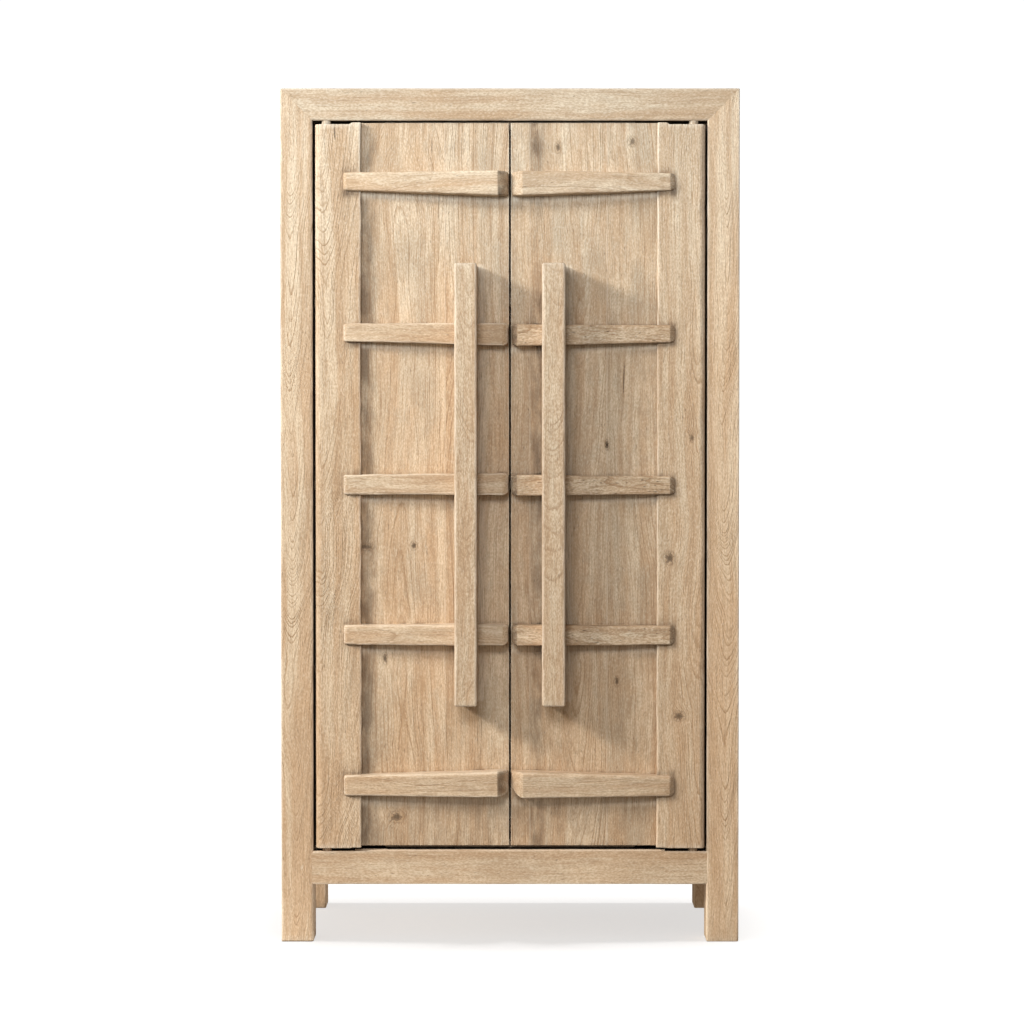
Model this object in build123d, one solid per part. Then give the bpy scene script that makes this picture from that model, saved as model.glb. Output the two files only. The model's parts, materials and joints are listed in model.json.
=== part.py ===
"""Tall two-door book cabinet of reclaimed elm, framed, mitred and hung on wooden pivots.

Millimetres, +Z up, front towards -Y. The origin is on the floor, under the middle of the
whole cabinet, handles included. The pieces are drawn with y = 0 on the front plane of the
frame and y growing towards the back, and are moved to the origin as they are written.
"""
from build123d import *
import os

os.makedirs("parts", exist_ok=True)

# ---- driving dimensions: carcass ----------------------------------------------------
WIDTH = 1095.0          # over the posts
HEIGHT = 2040.0         # floor to top
DEPTH = 500.0           # frame front to frame back
POST = 77.0             # side of the square posts and top rails
EDGE_ROUND = 3.0        # rounding of the outer long edges
FOOT_CHAMFER = 4.0      # worn lower edges of the feet
GROOVE = 10.0           # how far panels stand in their grooves
PLAY = 0.5              # fitting play of loose boards

# ---- bottom rails --------------------------------------------------------------------
RAIL_BOTTOM = 138.0
RAIL_TOP = 221.5
RAIL_RELIEF = 217.5     # lower top edge under the hinge stiles
RELIEF_STEP = 371.0     # the relief ends here in a crisp step
LEFT_SLOPE = (374.0, 299.4)     # shallow slope cut on into the left one's front edge
SLOPE_DEEP = 9.0
FRONT_RAIL_THICK = 60.0
SIDE_RAIL_THICK = 50.0
SHOULDER_REACH = 34.0   # pointed mitred shoulder, how far it enters the post
SHOULDER_THICK = 18.0
STUB_REACH = 28.0       # stub tenon of a bottom rail
STUB_START = 20.0       # from the outer face of the rail
STUB_THICK = 24.0
STUB_INSET = 12.0       # shoulder above and below the stub tenon

# ---- three-way mitre at the top ----------------------------------------------------------
TENON_NEAR = (12.0, 28.0)   # across the thinner direction, from the inner corner
TENON_FAR = (40.0, 62.0)    # along the rail's thickness
TENON_HEIGHT = 58.0

# ---- panels, floor and shelves ---------------------------------------------------------
PANEL_THICK = 16.0
PANEL_INSET = 14.0      # panel face behind the outer face of the frame
PANEL_V = 2.0           # depth of the V where the boards of a panel join
TOP_PANEL_THICK = 18.0
TOP_PANEL_SINK = 4.0
MID_STILE = 70.0
MID_STILE_THICK = 24.0
MID_TENON = 20.0
FLOOR_THICK = 18.0
SHELF_THICK = 22.0
SHELF_FRONT = 62.0
SHELF_NAMES = ("lower", "middle", "upper")
BEARER = 28.0
BEARER_TENON = 10.0
STOP_HALF_LENGTH = 300.0
STOP_SIZE = (20.0, 18.0)    # depth and height of the door stops

# ---- doors ---------------------------------------------------------------------------
STILE_OUTER = 466.5     # outer edge of the hinge stile, from the middle of the cabinet
STILE_INNER = {-1: 358.0, 1: 353.5}     # the right stile is the wider one
STILE_FRONT = -9.0      # the stile stands proud of the frame
DOOR_BACK = 33.0
STILE_BOTTOM = 226.0
STILE_TOP = 1954.0
STILE_STRIP = 22.0      # inner strip of the stile that runs up to the plank tops
STRIP_BOTTOM = 227.5    # and stops higher, over the unrelieved rail
STILE_ROUND = 13.0
PLANK_FRONT = 6.5
PLANK_BOTTOM = 230.5
PLANK_TOP = 1958.0
SEAM_EDGE = 2.0         # half the gap between the doors
LEFT_PLANK_EDGES = (STILE_INNER[-1], 153.0, SEAM_EDGE)
RIGHT_PLANK_EDGES = (STILE_INNER[1], 230.0, 45.5, SEAM_EDGE)
TONGUE = 8.0            # depth and thickness of the tongue between planks
TONGUE_FRONT = 15.0

# ---- pivots --------------------------------------------------------------------------
PIVOT_X = 438.5
PIVOT_Y = 14.0
PIVOT_RADIUS = 11.0
PIVOT_GLUE = 0.02       # radial gap of the pin in its own stile
PIVOT_RUNNING = 0.08    # radial gap in the rail's socket
PIVOT_IN_STILE = 60.0
PIVOT_IN_RAIL = 24.0
SOCKET_EXTRA = 0.3

# ---- battens ---------------------------------------------------------------------------
# Lower and upper edge at the stile end, then at the meeting end; how far along and into the
# batten its meeting end slants; how far that end's lower corner is lifted. The two doors
# were laid out by hand and differ a little.
BATTEN_ROWS = {
    -1: ((353.9, 398.5, 352.9, 411.0, 26.0, 26.0, 15.0),
         (715.5, 763.0, 714.0, 765.0, 14.0, 13.0, 9.0),
         (1073.0, 1121.5, 1071.5, 1124.5, 14.0, 13.0, 6.0),
         (1436.6, 1480.0, 1426.5, 1481.0, 14.0, 13.0, 8.0),
         (1798.2, 1839.6, 1783.6, 1842.0, 25.0, 26.0, 4.0)),
    1: ((351.9, 394.0, 350.9, 408.5, 26.0, 26.0, 15.0),
        (714.5, 760.0, 713.0, 762.5, 14.0, 13.0, 9.0),
        (1072.5, 1116.3, 1071.0, 1120.6, 14.0, 13.0, 6.0),
        (1435.0, 1476.0, 1425.0, 1478.0, 14.0, 13.0, 8.0),
        (1798.2, 1838.6, 1783.6, 1841.0, 25.0, 26.0, 4.0)),
}
BATTEN_STILE_END = {-1: 396.5, 1: 393.0}
BATTEN_MEETING_END = 4.6
BATTEN_LOW = 25.0       # height above the planks at the stile end
BATTEN_HIGH = 49.5      # and near the meeting end
BATTEN_BOW = 3.5        # how far the face bows out between them
BATTEN_CHAMFER = (7.5, 5.0)     # at the stile end
DOVETAIL_DEPTH = 9.0
DOVETAIL_HALF = (6.5, 9.5)      # half width of the root at the stile and the meeting end
DOVETAIL_FLARE = 2.5

# ---- handles -------------------------------------------------------------------------
HANDLE_X = {-1: 104.5, 1: 103.0}
HANDLE_WIDTH = {-1: 53.0, 1: 55.0}
HANDLE_REACH = 101.5    # above the plank face
HANDLE_BOTTOM = 575.0
HANDLE_TOP = 1620.0
HANDLE_ROUND = 7.0
NOTCH_PLAY = 0.4
SCREW_HEIGHTS = (640.0, 915.0, 1275.0, 1555.0)
SCREW_RADIUS = 4.0
SCREW_HEAD = (8.0, 4.0)     # radius and depth of the sunk head
SCREW_LENGTH = 78.0
SCREW_PLAY = 0.05

# ---- worked-out places -----------------------------------------------------------------
HALF = WIDTH / 2
POST_INNER = HALF - POST
TOP_RAIL_BOTTOM = HEIGHT - POST
BACK_POST = DEPTH - POST
PANEL_OUT = HALF - PANEL_INSET
PANEL_IN = PANEL_OUT - PANEL_THICK
BACK_OUT = DEPTH - PANEL_INSET
BACK_IN = BACK_OUT - PANEL_THICK
HANDLE_FRONT = PLANK_FRONT - HANDLE_REACH
SHIFT_TO_ORIGIN = -(DEPTH + HANDLE_FRONT) / 2
SHELF_STEP = (TOP_RAIL_BOTTOM - RAIL_TOP - 3 * SHELF_THICK) / 4 + SHELF_THICK
SIDES = {"left": -1, "right": 1}
OVERRUN = 5.0           # how far a cutter runs past the wood


# ---- building blocks -------------------------------------------------------------------
def block(x, y, z):
    """Square-cornered board from its three (from, to) ranges, in either order."""
    low = [min(pair) for pair in (x, y, z)]
    size = [abs(pair[1] - pair[0]) for pair in (x, y, z)]
    return Pos(*low) * Box(*size, align=(Align.MIN, Align.MIN, Align.MIN))


def prism(outline, along, reach):
    """Extrude a closed outline of points by a distance along a direction."""
    face = make_face(Polyline(*outline, close=True))
    return extrude(face, amount=reach, dir=along)


def tapered_bar(end_a, end_b):
    """Solid between two four-cornered ends whose sides stay flat."""
    faces = [Face(Wire.make_polygon(end_a)), Face(Wire.make_polygon(end_b))]
    for i in range(4):
        j = (i + 1) % 4
        faces.append(Face(Wire.make_polygon([end_a[i], end_a[j], end_b[j], end_b[i]])))
    return Solid(Shell(faces))


def rod(radius, x, y, z_low, z_high):
    """Upright round rod."""
    return Pos(x, y, z_low) * Cylinder(
        radius, z_high - z_low, align=(Align.CENTER, Align.CENTER, Align.MIN))


# ---- three-way mitre ---------------------------------------------------------------------
def corner_block(side, back, spans):
    """Block inside a top corner, from spans measured out of its inner corner."""
    inner = (side * POST_INNER, BACK_POST if back else POST, TOP_RAIL_BOTTOM)
    signs = (side, 1 if back else -1, 1)
    ranges = [[inner[k] + signs[k] * v for v in spans[k]] for k in range(3)]
    return block(*ranges)


def mitre_wedge(side, back, own, other):
    """Waste of a top corner where a member has run further along its own axis
    than along another axis, so that each member keeps a pyramid."""
    inner = (side * POST_INNER, BACK_POST if back else POST, TOP_RAIL_BOTTOM)
    signs = (side, 1 if back else -1, 1)
    third = 3 - own - other
    outline = []
    far = POST + OVERRUN
    for along_own, along_other in ((-OVERRUN, -OVERRUN), (far, far), (far, -OVERRUN)):
        point = [0.0, 0.0, 0.0]
        point[own] = inner[own] + signs[own] * along_own
        point[other] = inner[other] + signs[other] * along_other
        point[third] = inner[third] - signs[third] * OVERRUN
        outline.append(tuple(point))
    direction = [0, 0, 0]
    direction[third] = signs[third]
    return prism(outline, tuple(direction), POST + 2 * OVERRUN)


def mitred(member, own, corners):
    """Cut a member's ends to the three-way mitre at the given corners."""
    for side, back in corners:
        for other in (axis for axis in range(3) if axis != own):
            member = member - mitre_wedge(side, back, own, other)
    return member


def corner_tenons(side, back):
    """The post's two tenons: one up into the front or back rail, one into the side rail."""
    up = (0.0, TENON_HEIGHT)
    return [corner_block(side, back, (TENON_NEAR, TENON_FAR, up)),
            corner_block(side, back, (TENON_FAR, TENON_NEAR, up))]


# ---- top frame ---------------------------------------------------------------------------
def top_panel():
    """Panel floated in the grooves of the top rails."""
    reach = POST_INNER + GROOVE
    top = HEIGHT - TOP_PANEL_SINK
    return block((-reach, reach), (POST - GROOVE, BACK_POST + GROOVE), (top - TOP_PANEL_THICK, top))


def top_cross_rail(back):
    """Front or back top rail."""
    y = (BACK_POST, DEPTH) if back else (0.0, POST)
    outer_y = DEPTH if back else 0.0
    rail = block((-HALF, HALF), y, (TOP_RAIL_BOTTOM, HEIGHT))
    edge = [e for e in rail.edges().filter_by(Axis.X)
            if abs(e.center().Y - outer_y) < 0.1 and abs(e.center().Z - HEIGHT) < 0.1]
    rail = mitred(fillet(edge, EDGE_ROUND), 0, [(-1, back), (1, back)])
    for side in (-1, 1):
        rail = rail - corner_tenons(side, back)[0]
    return rail - top_panel()


def top_side_rail(side):
    """Left or right top rail."""
    rail = block((side * POST_INNER, side * HALF), (0.0, DEPTH), (TOP_RAIL_BOTTOM, HEIGHT))
    edge = [e for e in rail.edges().filter_by(Axis.Y)
            if abs(e.center().X - side * HALF) < 0.1 and abs(e.center().Z - HEIGHT) < 0.1]
    rail = mitred(fillet(edge, EDGE_ROUND), 1, [(side, False), (side, True)])
    for back in (False, True):
        rail = rail - corner_tenons(side, back)[1]
    return rail - top_panel() - side_panel(side)


# ---- bottom frame --------------------------------------------------------------------------
def rail_relief(side):
    """Waste above the front rail, under one hinge stile."""
    return block((side * RELIEF_STEP, side * (POST_INNER + OVERRUN)),
                 (-OVERRUN, FRONT_RAIL_THICK + OVERRUN), (RAIL_RELIEF, RAIL_TOP + OVERRUN))


def relief_slope():
    """Waste of the shallow slope that runs out of the left relief along the front edge."""
    start, end = LEFT_SLOPE
    slope_end = end - (start - end) * OVERRUN / (RAIL_TOP - RAIL_RELIEF)
    points = [(start, RAIL_RELIEF), (slope_end, RAIL_TOP + OVERRUN), (start, RAIL_TOP + OVERRUN)]
    return prism([(-x, -OVERRUN, z) for x, z in points], (0, 1, 0), SLOPE_DEEP + OVERRUN)


def bottom_cross_rail(back):
    """Front or back bottom rail, with its joints into the posts."""
    outer = DEPTH if back else 0.0
    inward = -1 if back else 1
    rail = block((-POST_INNER, POST_INNER), (outer, outer + inward * FRONT_RAIL_THICK),
                 (RAIL_BOTTOM, RAIL_TOP))
    shoulder_top = RAIL_TOP
    if not back:
        rail = rail - rail_relief(-1) - rail_relief(1) - relief_slope()
        shoulder_top = RAIL_RELIEF
    stub_y = (outer + inward * STUB_START, outer + inward * (STUB_START + STUB_THICK))
    middle = (RAIL_BOTTOM + shoulder_top) / 2
    for side in (-1, 1):
        root = side * (POST_INNER - 1)
        rail = rail + block((root, side * (POST_INNER + STUB_REACH)), stub_y,
                            (RAIL_BOTTOM + STUB_INSET, shoulder_top - STUB_INSET))
        if not back:
            outline = [(side * x, 0.0, z) for x, z in (
                (POST_INNER, RAIL_BOTTOM), (POST_INNER + SHOULDER_REACH, middle),
                (POST_INNER, shoulder_top))]
            rail = rail + prism(outline, (0, 1, 0), SHOULDER_THICK)
    return rail


def bottom_side_rail(side):
    """Left or right bottom rail, with pointed shoulders, stub tenons and a panel groove."""
    rail = block((side * HALF, side * (HALF - SIDE_RAIL_THICK)), (POST, BACK_POST),
                 (RAIL_BOTTOM, RAIL_TOP))
    middle = (RAIL_BOTTOM + RAIL_TOP) / 2
    stub_x = (side * (HALF - STUB_START), side * (HALF - STUB_START - STUB_THICK))
    for end, outward in ((POST, -1), (BACK_POST, 1)):
        rail = rail + block(stub_x, (end - outward, end + outward * STUB_REACH),
                            (RAIL_BOTTOM + STUB_INSET, RAIL_TOP - STUB_INSET))
        outline = [(side * HALF, y, z) for y, z in (
            (end, RAIL_BOTTOM), (end + outward * SHOULDER_REACH, middle), (end, RAIL_TOP))]
        rail = rail + prism(outline, (-side, 0, 0), SHOULDER_THICK)
    return rail - side_panel(side)


# ---- panels ----------------------------------------------------------------------------
def side_panel(side):
    """Plain side panel whose edges fill the grooves of the frame."""
    return block((side * PANEL_IN, side * PANEL_OUT), (POST - GROOVE, BACK_POST + GROOVE),
                 (RAIL_TOP - GROOVE, TOP_RAIL_BOTTOM + GROOVE))


def back_panel(side):
    """Plain half of the back, between a post and the middle stile."""
    return block((side * (MID_STILE / 2 - GROOVE), side * (POST_INNER + GROOVE)),
                 (BACK_IN, BACK_OUT), (RAIL_TOP - GROOVE, TOP_RAIL_BOTTOM + GROOVE))


def board_joint(x, y, across):
    """Upright V cut that marks where two boards of a panel join; across is the panel's
    own direction, "x" or "y", and the V opens on the point's side of the panel."""
    half = PANEL_V
    if across == "y":
        sign = 1 if x > 0 else -1
        points = [(x + sign, y - half), (x + sign, y + half), (x - sign * PANEL_V, y)]
    else:
        points = [(x - half, y + 1), (x + half, y + 1), (x, y - PANEL_V)]
    outline = [(px, py, RAIL_TOP) for px, py in points]
    return prism(outline, (0, 0, 1), TOP_RAIL_BOTTOM - RAIL_TOP)


def jointed_side_panel(side):
    """Side panel of three boards."""
    width = BACK_POST - POST
    panel = side_panel(side)
    for share in (0.36, 0.68):
        panel = panel - board_joint(side * PANEL_OUT, POST + width * share, "y")
    return panel


def jointed_back_panel(side):
    """Half of the back, of three boards."""
    width = POST_INNER - MID_STILE / 2
    panel = back_panel(side)
    for share in (0.31, 0.66):
        panel = panel - board_joint(side * (MID_STILE / 2 + width * share), BACK_OUT, "x")
    return panel


def back_mid_stile():
    """Middle stile of the back, rebated for the panels and tenoned into the rails."""
    half = MID_STILE / 2
    stile = block((-half, half), (BACK_IN, BACK_IN + MID_STILE_THICK), (RAIL_TOP, TOP_RAIL_BOTTOM))
    stile = stile + block((-half + GROOVE, half - GROOVE), (BACK_IN, BACK_OUT),
                          (RAIL_TOP - MID_TENON, TOP_RAIL_BOTTOM + MID_TENON))
    return stile - back_panel(-1) - back_panel(1)


# ---- posts -----------------------------------------------------------------------------
def bearer_heights():
    """Underside of each shelf, lowest first."""
    return [RAIL_TOP + SHELF_STEP * (n + 1) - SHELF_THICK for n in range(len(SHELF_NAMES))]


def shelf_bearer(side, shelf_underside):
    """Bar under a shelf's end, tenoned into the front and back posts."""
    z = (shelf_underside - BEARER, shelf_underside)
    bar = block((side * (PANEL_IN - BEARER), side * PANEL_IN), (POST, BACK_POST), z)
    tenon = block((side * (PANEL_IN - BEARER + 6), side * (PANEL_IN - 6)),
                  (POST - BEARER_TENON, BACK_POST + BEARER_TENON), (z[0] + 5, z[1] - 5))
    return bar + tenon


def post(side, back):
    """Corner post: foot at the bottom, three-way mitre with two tenons at the top."""
    y = (BACK_POST, DEPTH) if back else (0.0, POST)
    outer_y = DEPTH if back else 0.0
    wood = block((side * POST_INNER, side * HALF), y, (0.0, HEIGHT))
    wood = chamfer(wood.faces().sort_by(Axis.Z)[0].edges(), FOOT_CHAMFER)
    edge = [e for e in wood.edges().filter_by(Axis.Z)
            if abs(e.center().X - side * HALF) < 0.1 and abs(e.center().Y - outer_y) < 0.1]
    wood = mitred(fillet(edge, EDGE_ROUND), 2, [(side, back)])
    for tenon in corner_tenons(side, back):
        wood = wood + tenon
    wood = wood - bottom_cross_rail(back) - bottom_side_rail(side) - side_panel(side)
    if back:
        wood = wood - back_panel(side)
    for height in bearer_heights():
        wood = wood - shelf_bearer(side, height)
    return wood


# ---- floor, shelves and stops ----------------------------------------------------------------
def notched_board(z_low, thick, front, back):
    """Board across the cabinet, notched round the four posts."""
    reach = PANEL_IN - PLAY
    board = block((-reach, reach), (front, back), (z_low, z_low + thick))
    for side in (-1, 1):
        x = (side * (POST_INNER - PLAY), side * HALF)
        z = (z_low - 1, z_low + thick + 1)
        board = board - block(x, (0.0, POST + PLAY), z)
        board = board - block(x, (BACK_POST - PLAY, DEPTH), z)
    return board


def floor_board():
    """Floor of the cabinet, flush with the bottom rails."""
    board = notched_board(RAIL_TOP - FLOOR_THICK, FLOOR_THICK,
                          FRONT_RAIL_THICK + PLAY, DEPTH - FRONT_RAIL_THICK - PLAY)
    for side in (-1, 1):
        board = board - block((side * (HALF - SIDE_RAIL_THICK - PLAY), side * HALF),
                              (0.0, DEPTH), (RAIL_BOTTOM, RAIL_TOP + 1))
    return board


def floor_bearers():
    """Two strips behind the front rail and before the back rail, under the floor."""
    z = (RAIL_TOP - FLOOR_THICK - BEARER, RAIL_TOP - FLOOR_THICK)
    reach = POST_INNER - PLAY
    front = FRONT_RAIL_THICK
    back = DEPTH - FRONT_RAIL_THICK
    return [block((-reach, reach), (front, front + BEARER), z),
            block((-reach, reach), (back - BEARER, back), z)]


def door_stop(top):
    """Strip behind the doors, against the top rail or the bottom rail."""
    deep, high = STOP_SIZE
    start = TOP_RAIL_BOTTOM - high if top else RAIL_TOP
    y = DOOR_BACK + PLAY
    return block((-STOP_HALF_LENGTH, STOP_HALF_LENGTH), (y, y + deep), (start, start + high))


# ---- doors -------------------------------------------------------------------------------
def dovetail_tongue(side, row, meeting_end):
    """Tapered dovetail on a batten's back, widest at the meeting edge of the door."""
    ends = []
    length = STILE_INNER[side] - BATTEN_MEETING_END
    for x in (meeting_end, STILE_INNER[side]):
        share = (x - BATTEN_MEETING_END) / length
        middle = (1 - share) * (row[2] + row[3]) / 2 + share * (row[0] + row[1]) / 2
        half = (1 - share) * DOVETAIL_HALF[1] + share * DOVETAIL_HALF[0]
        tip = PLANK_FRONT + DOVETAIL_DEPTH
        ends.append([(side * x, PLANK_FRONT, middle - half),
                     (side * x, PLANK_FRONT, middle + half),
                     (side * x, tip, middle + half + DOVETAIL_FLARE),
                     (side * x, tip, middle - half - DOVETAIL_FLARE)])
    return tapered_bar(*ends)


def batten_bar(side, row, grow=0.0):
    """The visible part of a batten: bowed in plan, tapered in height, bevelled at the seam."""
    low_s, high_s, low_m, high_m, bevel_along, bevel_in, lift = row
    cut_along, cut_in = BATTEN_CHAMFER
    face_s = PLANK_FRONT - BATTEN_LOW - grow
    face_m = PLANK_FRONT - BATTEN_HIGH - grow
    near = BATTEN_MEETING_END - grow
    far = BATTEN_STILE_END[side] + grow
    arc_start = (far - cut_along, face_s)
    arc_end = (near + bevel_along, face_m)
    arc_middle = ((arc_start[0] + arc_end[0]) / 2, (face_s + face_m) / 2 - BATTEN_BOW)
    at = [(side * x, y, 0.0) for x, y in (
        (far, PLANK_FRONT), (far, face_s + cut_in), arc_start, arc_middle, arc_end,
        (near, face_m + bevel_in), (near, PLANK_FRONT))]
    outline = [Line(at[0], at[1]), Line(at[1], at[2]), ThreePointArc(at[2], at[3], at[4]),
               Line(at[4], at[5]), Line(at[5], at[6]), Line(at[6], at[0])]
    plan = extrude(make_face(outline), amount=HEIGHT, dir=(0, 0, 1))
    lift_share = bevel_along / (far - near)
    low_bevel = low_m + (low_s - low_m) * lift_share
    elevation = [(side * x, -HANDLE_REACH - OVERRUN, z) for x, z in (
        (far, low_s - grow), (far, high_s + grow), (near, high_m + grow),
        (near, low_m + lift - grow), (near + bevel_along, low_bevel - grow))]
    return plan & prism(elevation, (0, 1, 0), 2 * HANDLE_REACH)


def batten(side, row):
    """Batten with its dovetail tongue."""
    return batten_bar(side, row) + dovetail_tongue(side, row, BATTEN_MEETING_END)


def pivot_pin(side, top, gap=0.0):
    """Wooden pivot pin of a door, standing in the stile and in the rail."""
    if top:
        z = (STILE_TOP - PIVOT_IN_STILE, TOP_RAIL_BOTTOM + PIVOT_IN_RAIL)
    else:
        z = (RAIL_RELIEF - PIVOT_IN_RAIL, STILE_BOTTOM + PIVOT_IN_STILE)
    return rod(PIVOT_RADIUS + gap, side * PIVOT_X, PIVOT_Y, *z)


def pivot_socket(side, top):
    """Blind socket for a pivot pin."""
    deep = PIVOT_IN_RAIL + SOCKET_EXTRA
    z = ((TOP_RAIL_BOTTOM - 1, TOP_RAIL_BOTTOM + deep) if top
         else (RAIL_RELIEF - deep, RAIL_RELIEF + 1))
    return rod(PIVOT_RADIUS + PIVOT_RUNNING, side * PIVOT_X, PIVOT_Y, *z)


def hinge_stile(side):
    """Stile that carries the pivots, notched for the battens and grooved for the planks."""
    y = (STILE_FRONT, DOOR_BACK)
    inner = STILE_INNER[side]
    stile = block((side * inner, side * STILE_OUTER), y, (STILE_BOTTOM, PLANK_TOP))
    edge = [e for e in stile.edges().filter_by(Axis.Z)
            if abs(abs(e.center().X) - STILE_OUTER) < 0.1 and e.center().Y < 0]
    stile = fillet(edge, STILE_ROUND)
    strip_end = inner + STILE_STRIP
    stile = stile - block((side * strip_end, side * HALF), (y[0] - 1, y[1] + 1), (STILE_TOP, HEIGHT))
    stile = stile - block((0, side * strip_end), (y[0] - 1, y[1] + 1), (0, STRIP_BOTTOM))
    stile = stile - plank_tongue(side, inner)
    for row in BATTEN_ROWS[side]:
        stile = stile - batten_bar(side, row)
    for top in (False, True):
        stile = stile - pivot_pin(side, top, PIVOT_GLUE)
    return stile


def plank_tongue(side, edge):
    """Tongue that runs up the outer edge of a plank."""
    return block((side * edge, side * (edge + TONGUE)), (TONGUE_FRONT, TONGUE_FRONT + TONGUE),
                 (PLANK_BOTTOM, PLANK_TOP))


def planks(side, edges):
    """Face planks from the stile to the seam, tongued together and housed for the battens."""
    made = []
    for outer, inner in zip(edges, edges[1:]):
        plank = block((side * inner, side * outer), (PLANK_FRONT, DOOR_BACK),
                      (PLANK_BOTTOM, PLANK_TOP)) + plank_tongue(side, outer)
        if inner != edges[-1]:
            plank = plank - plank_tongue(side, inner)
        for row in BATTEN_ROWS[side]:
            plank = plank - dovetail_tongue(side, row, SEAM_EDGE - 1)
        if inner < HANDLE_X[side] < outer:
            for height in SCREW_HEIGHTS:
                plank = plank - handle_screw(side, height, SCREW_PLAY)
        made.append(plank)
    return made


def handle_screw(side, height, gap=0.0):
    """Sunk-head screw through a plank into the handle."""
    head_radius, head_depth = SCREW_HEAD
    tip = DOOR_BACK - SCREW_LENGTH - gap
    profile = [(0, DOOR_BACK), (head_radius + gap, DOOR_BACK),
               (SCREW_RADIUS + gap, DOOR_BACK - head_depth), (SCREW_RADIUS + gap, tip), (0, tip)]
    face = make_face(Polyline(*[(x, y, 0.0) for x, y in profile], close=True))
    return Pos(side * HANDLE_X[side], 0, height) * revolve(face, Axis.Y)


def handle(side):
    """Deep bar handle, notched over the battens it crosses."""
    half = HANDLE_WIDTH[side] / 2
    x = (side * (HANDLE_X[side] - half), side * (HANDLE_X[side] + half))
    bar = block(x, (HANDLE_FRONT, PLANK_FRONT), (HANDLE_BOTTOM, HANDLE_TOP))
    bar = fillet(bar.faces().sort_by(Axis.Y)[0].edges(), HANDLE_ROUND)
    for row in BATTEN_ROWS[side]:
        if HANDLE_BOTTOM < row[0] < HANDLE_TOP:
            bar = bar - batten_bar(side, row, NOTCH_PLAY)
    for height in SCREW_HEIGHTS:
        bar = bar - handle_screw(side, height, SCREW_PLAY)
    return bar


# ---- assembly ----------------------------------------------------------------------------
def carcass():
    """Every piece that stands still, by name."""
    made = {}
    for end, back in (("front", False), ("back", True)):
        made[f"top_{end}_rail"] = top_cross_rail(back)
        made[f"bottom_{end}_rail"] = bottom_cross_rail(back)
        for name, side in SIDES.items():
            made[f"{end}_{name}_post"] = post(side, back)
    for name, side in SIDES.items():
        for top in (False, True):
            rail = "top_front_rail" if top else "bottom_front_rail"
            made[rail] = made[rail] - pivot_socket(side, top)
        made[f"top_{name}_rail"] = top_side_rail(side)
        made[f"bottom_{name}_rail"] = bottom_side_rail(side)
        made[f"{name}_side_panel"] = jointed_side_panel(side)
        made[f"back_{name}_panel"] = jointed_back_panel(side)
    made["back_mid_stile"] = back_mid_stile()
    for rail in ("top_back_rail", "bottom_back_rail"):
        made[rail] = made[rail] - back_mid_stile() - back_panel(-1) - back_panel(1)
    made["top_panel"] = top_panel()
    made["floor_board"] = floor_board()
    made["floor_bearers"] = floor_bearers()
    for name, height in zip(SHELF_NAMES, bearer_heights()):
        made[f"{name}_shelf"] = notched_board(height, SHELF_THICK, SHELF_FRONT, BACK_IN - PLAY)
        made[f"{name}_shelf_bearers"] = [shelf_bearer(side, height) for side in (-1, 1)]
    made["top_door_stop"] = door_stop(True)
    made["bottom_door_stop"] = door_stop(False)
    return made


def door(name, side, edges):
    """Every piece of one door, by name."""
    made = {
        f"{name}_door_stile": hinge_stile(side),
        f"{name}_door_top_pivot": pivot_pin(side, True),
        f"{name}_door_bottom_pivot": pivot_pin(side, False),
        f"{name}_door_handle": handle(side),
        f"{name}_door_handle_screws": [handle_screw(side, z) for z in SCREW_HEIGHTS],
    }
    for n, plank in enumerate(planks(side, edges), start=1):
        made[f"{name}_door_plank_{n}"] = plank
    for n, row in enumerate(BATTEN_ROWS[side], start=1):
        made[f"{name}_door_batten_{n}"] = batten(side, row)
    return made


def write(pieces):
    """Move each piece to the cabinet's origin and write it to its own file."""
    for name, shape in pieces.items():
        solids = shape if isinstance(shape, list) else [shape]
        moved = [solid for item in solids for solid in (Pos(0, SHIFT_TO_ORIGIN, 0) * item).solids()]
        export_step(moved[0] if len(moved) == 1 else Compound(moved), f"parts/{name}.step")


write(carcass())
write(door("left", SIDES["left"], LEFT_PLANK_EDGES))
write(door("right", SIDES["right"], RIGHT_PLANK_EDGES))
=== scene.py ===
"""Looks of a tall two-door book cabinet of reclaimed elm.

Every piece of timber is lofted from rounded, unevenly worn sections in the place of its
solid, and takes a wood finish whose growth rings run through the whole piece. Metres, in
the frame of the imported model.
"""
import json
import math
import random
from dataclasses import dataclass
from functools import partial

import bmesh
import bpy
from bpy.props import FloatProperty, FloatVectorProperty, PointerProperty
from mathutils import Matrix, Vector, noise

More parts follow.
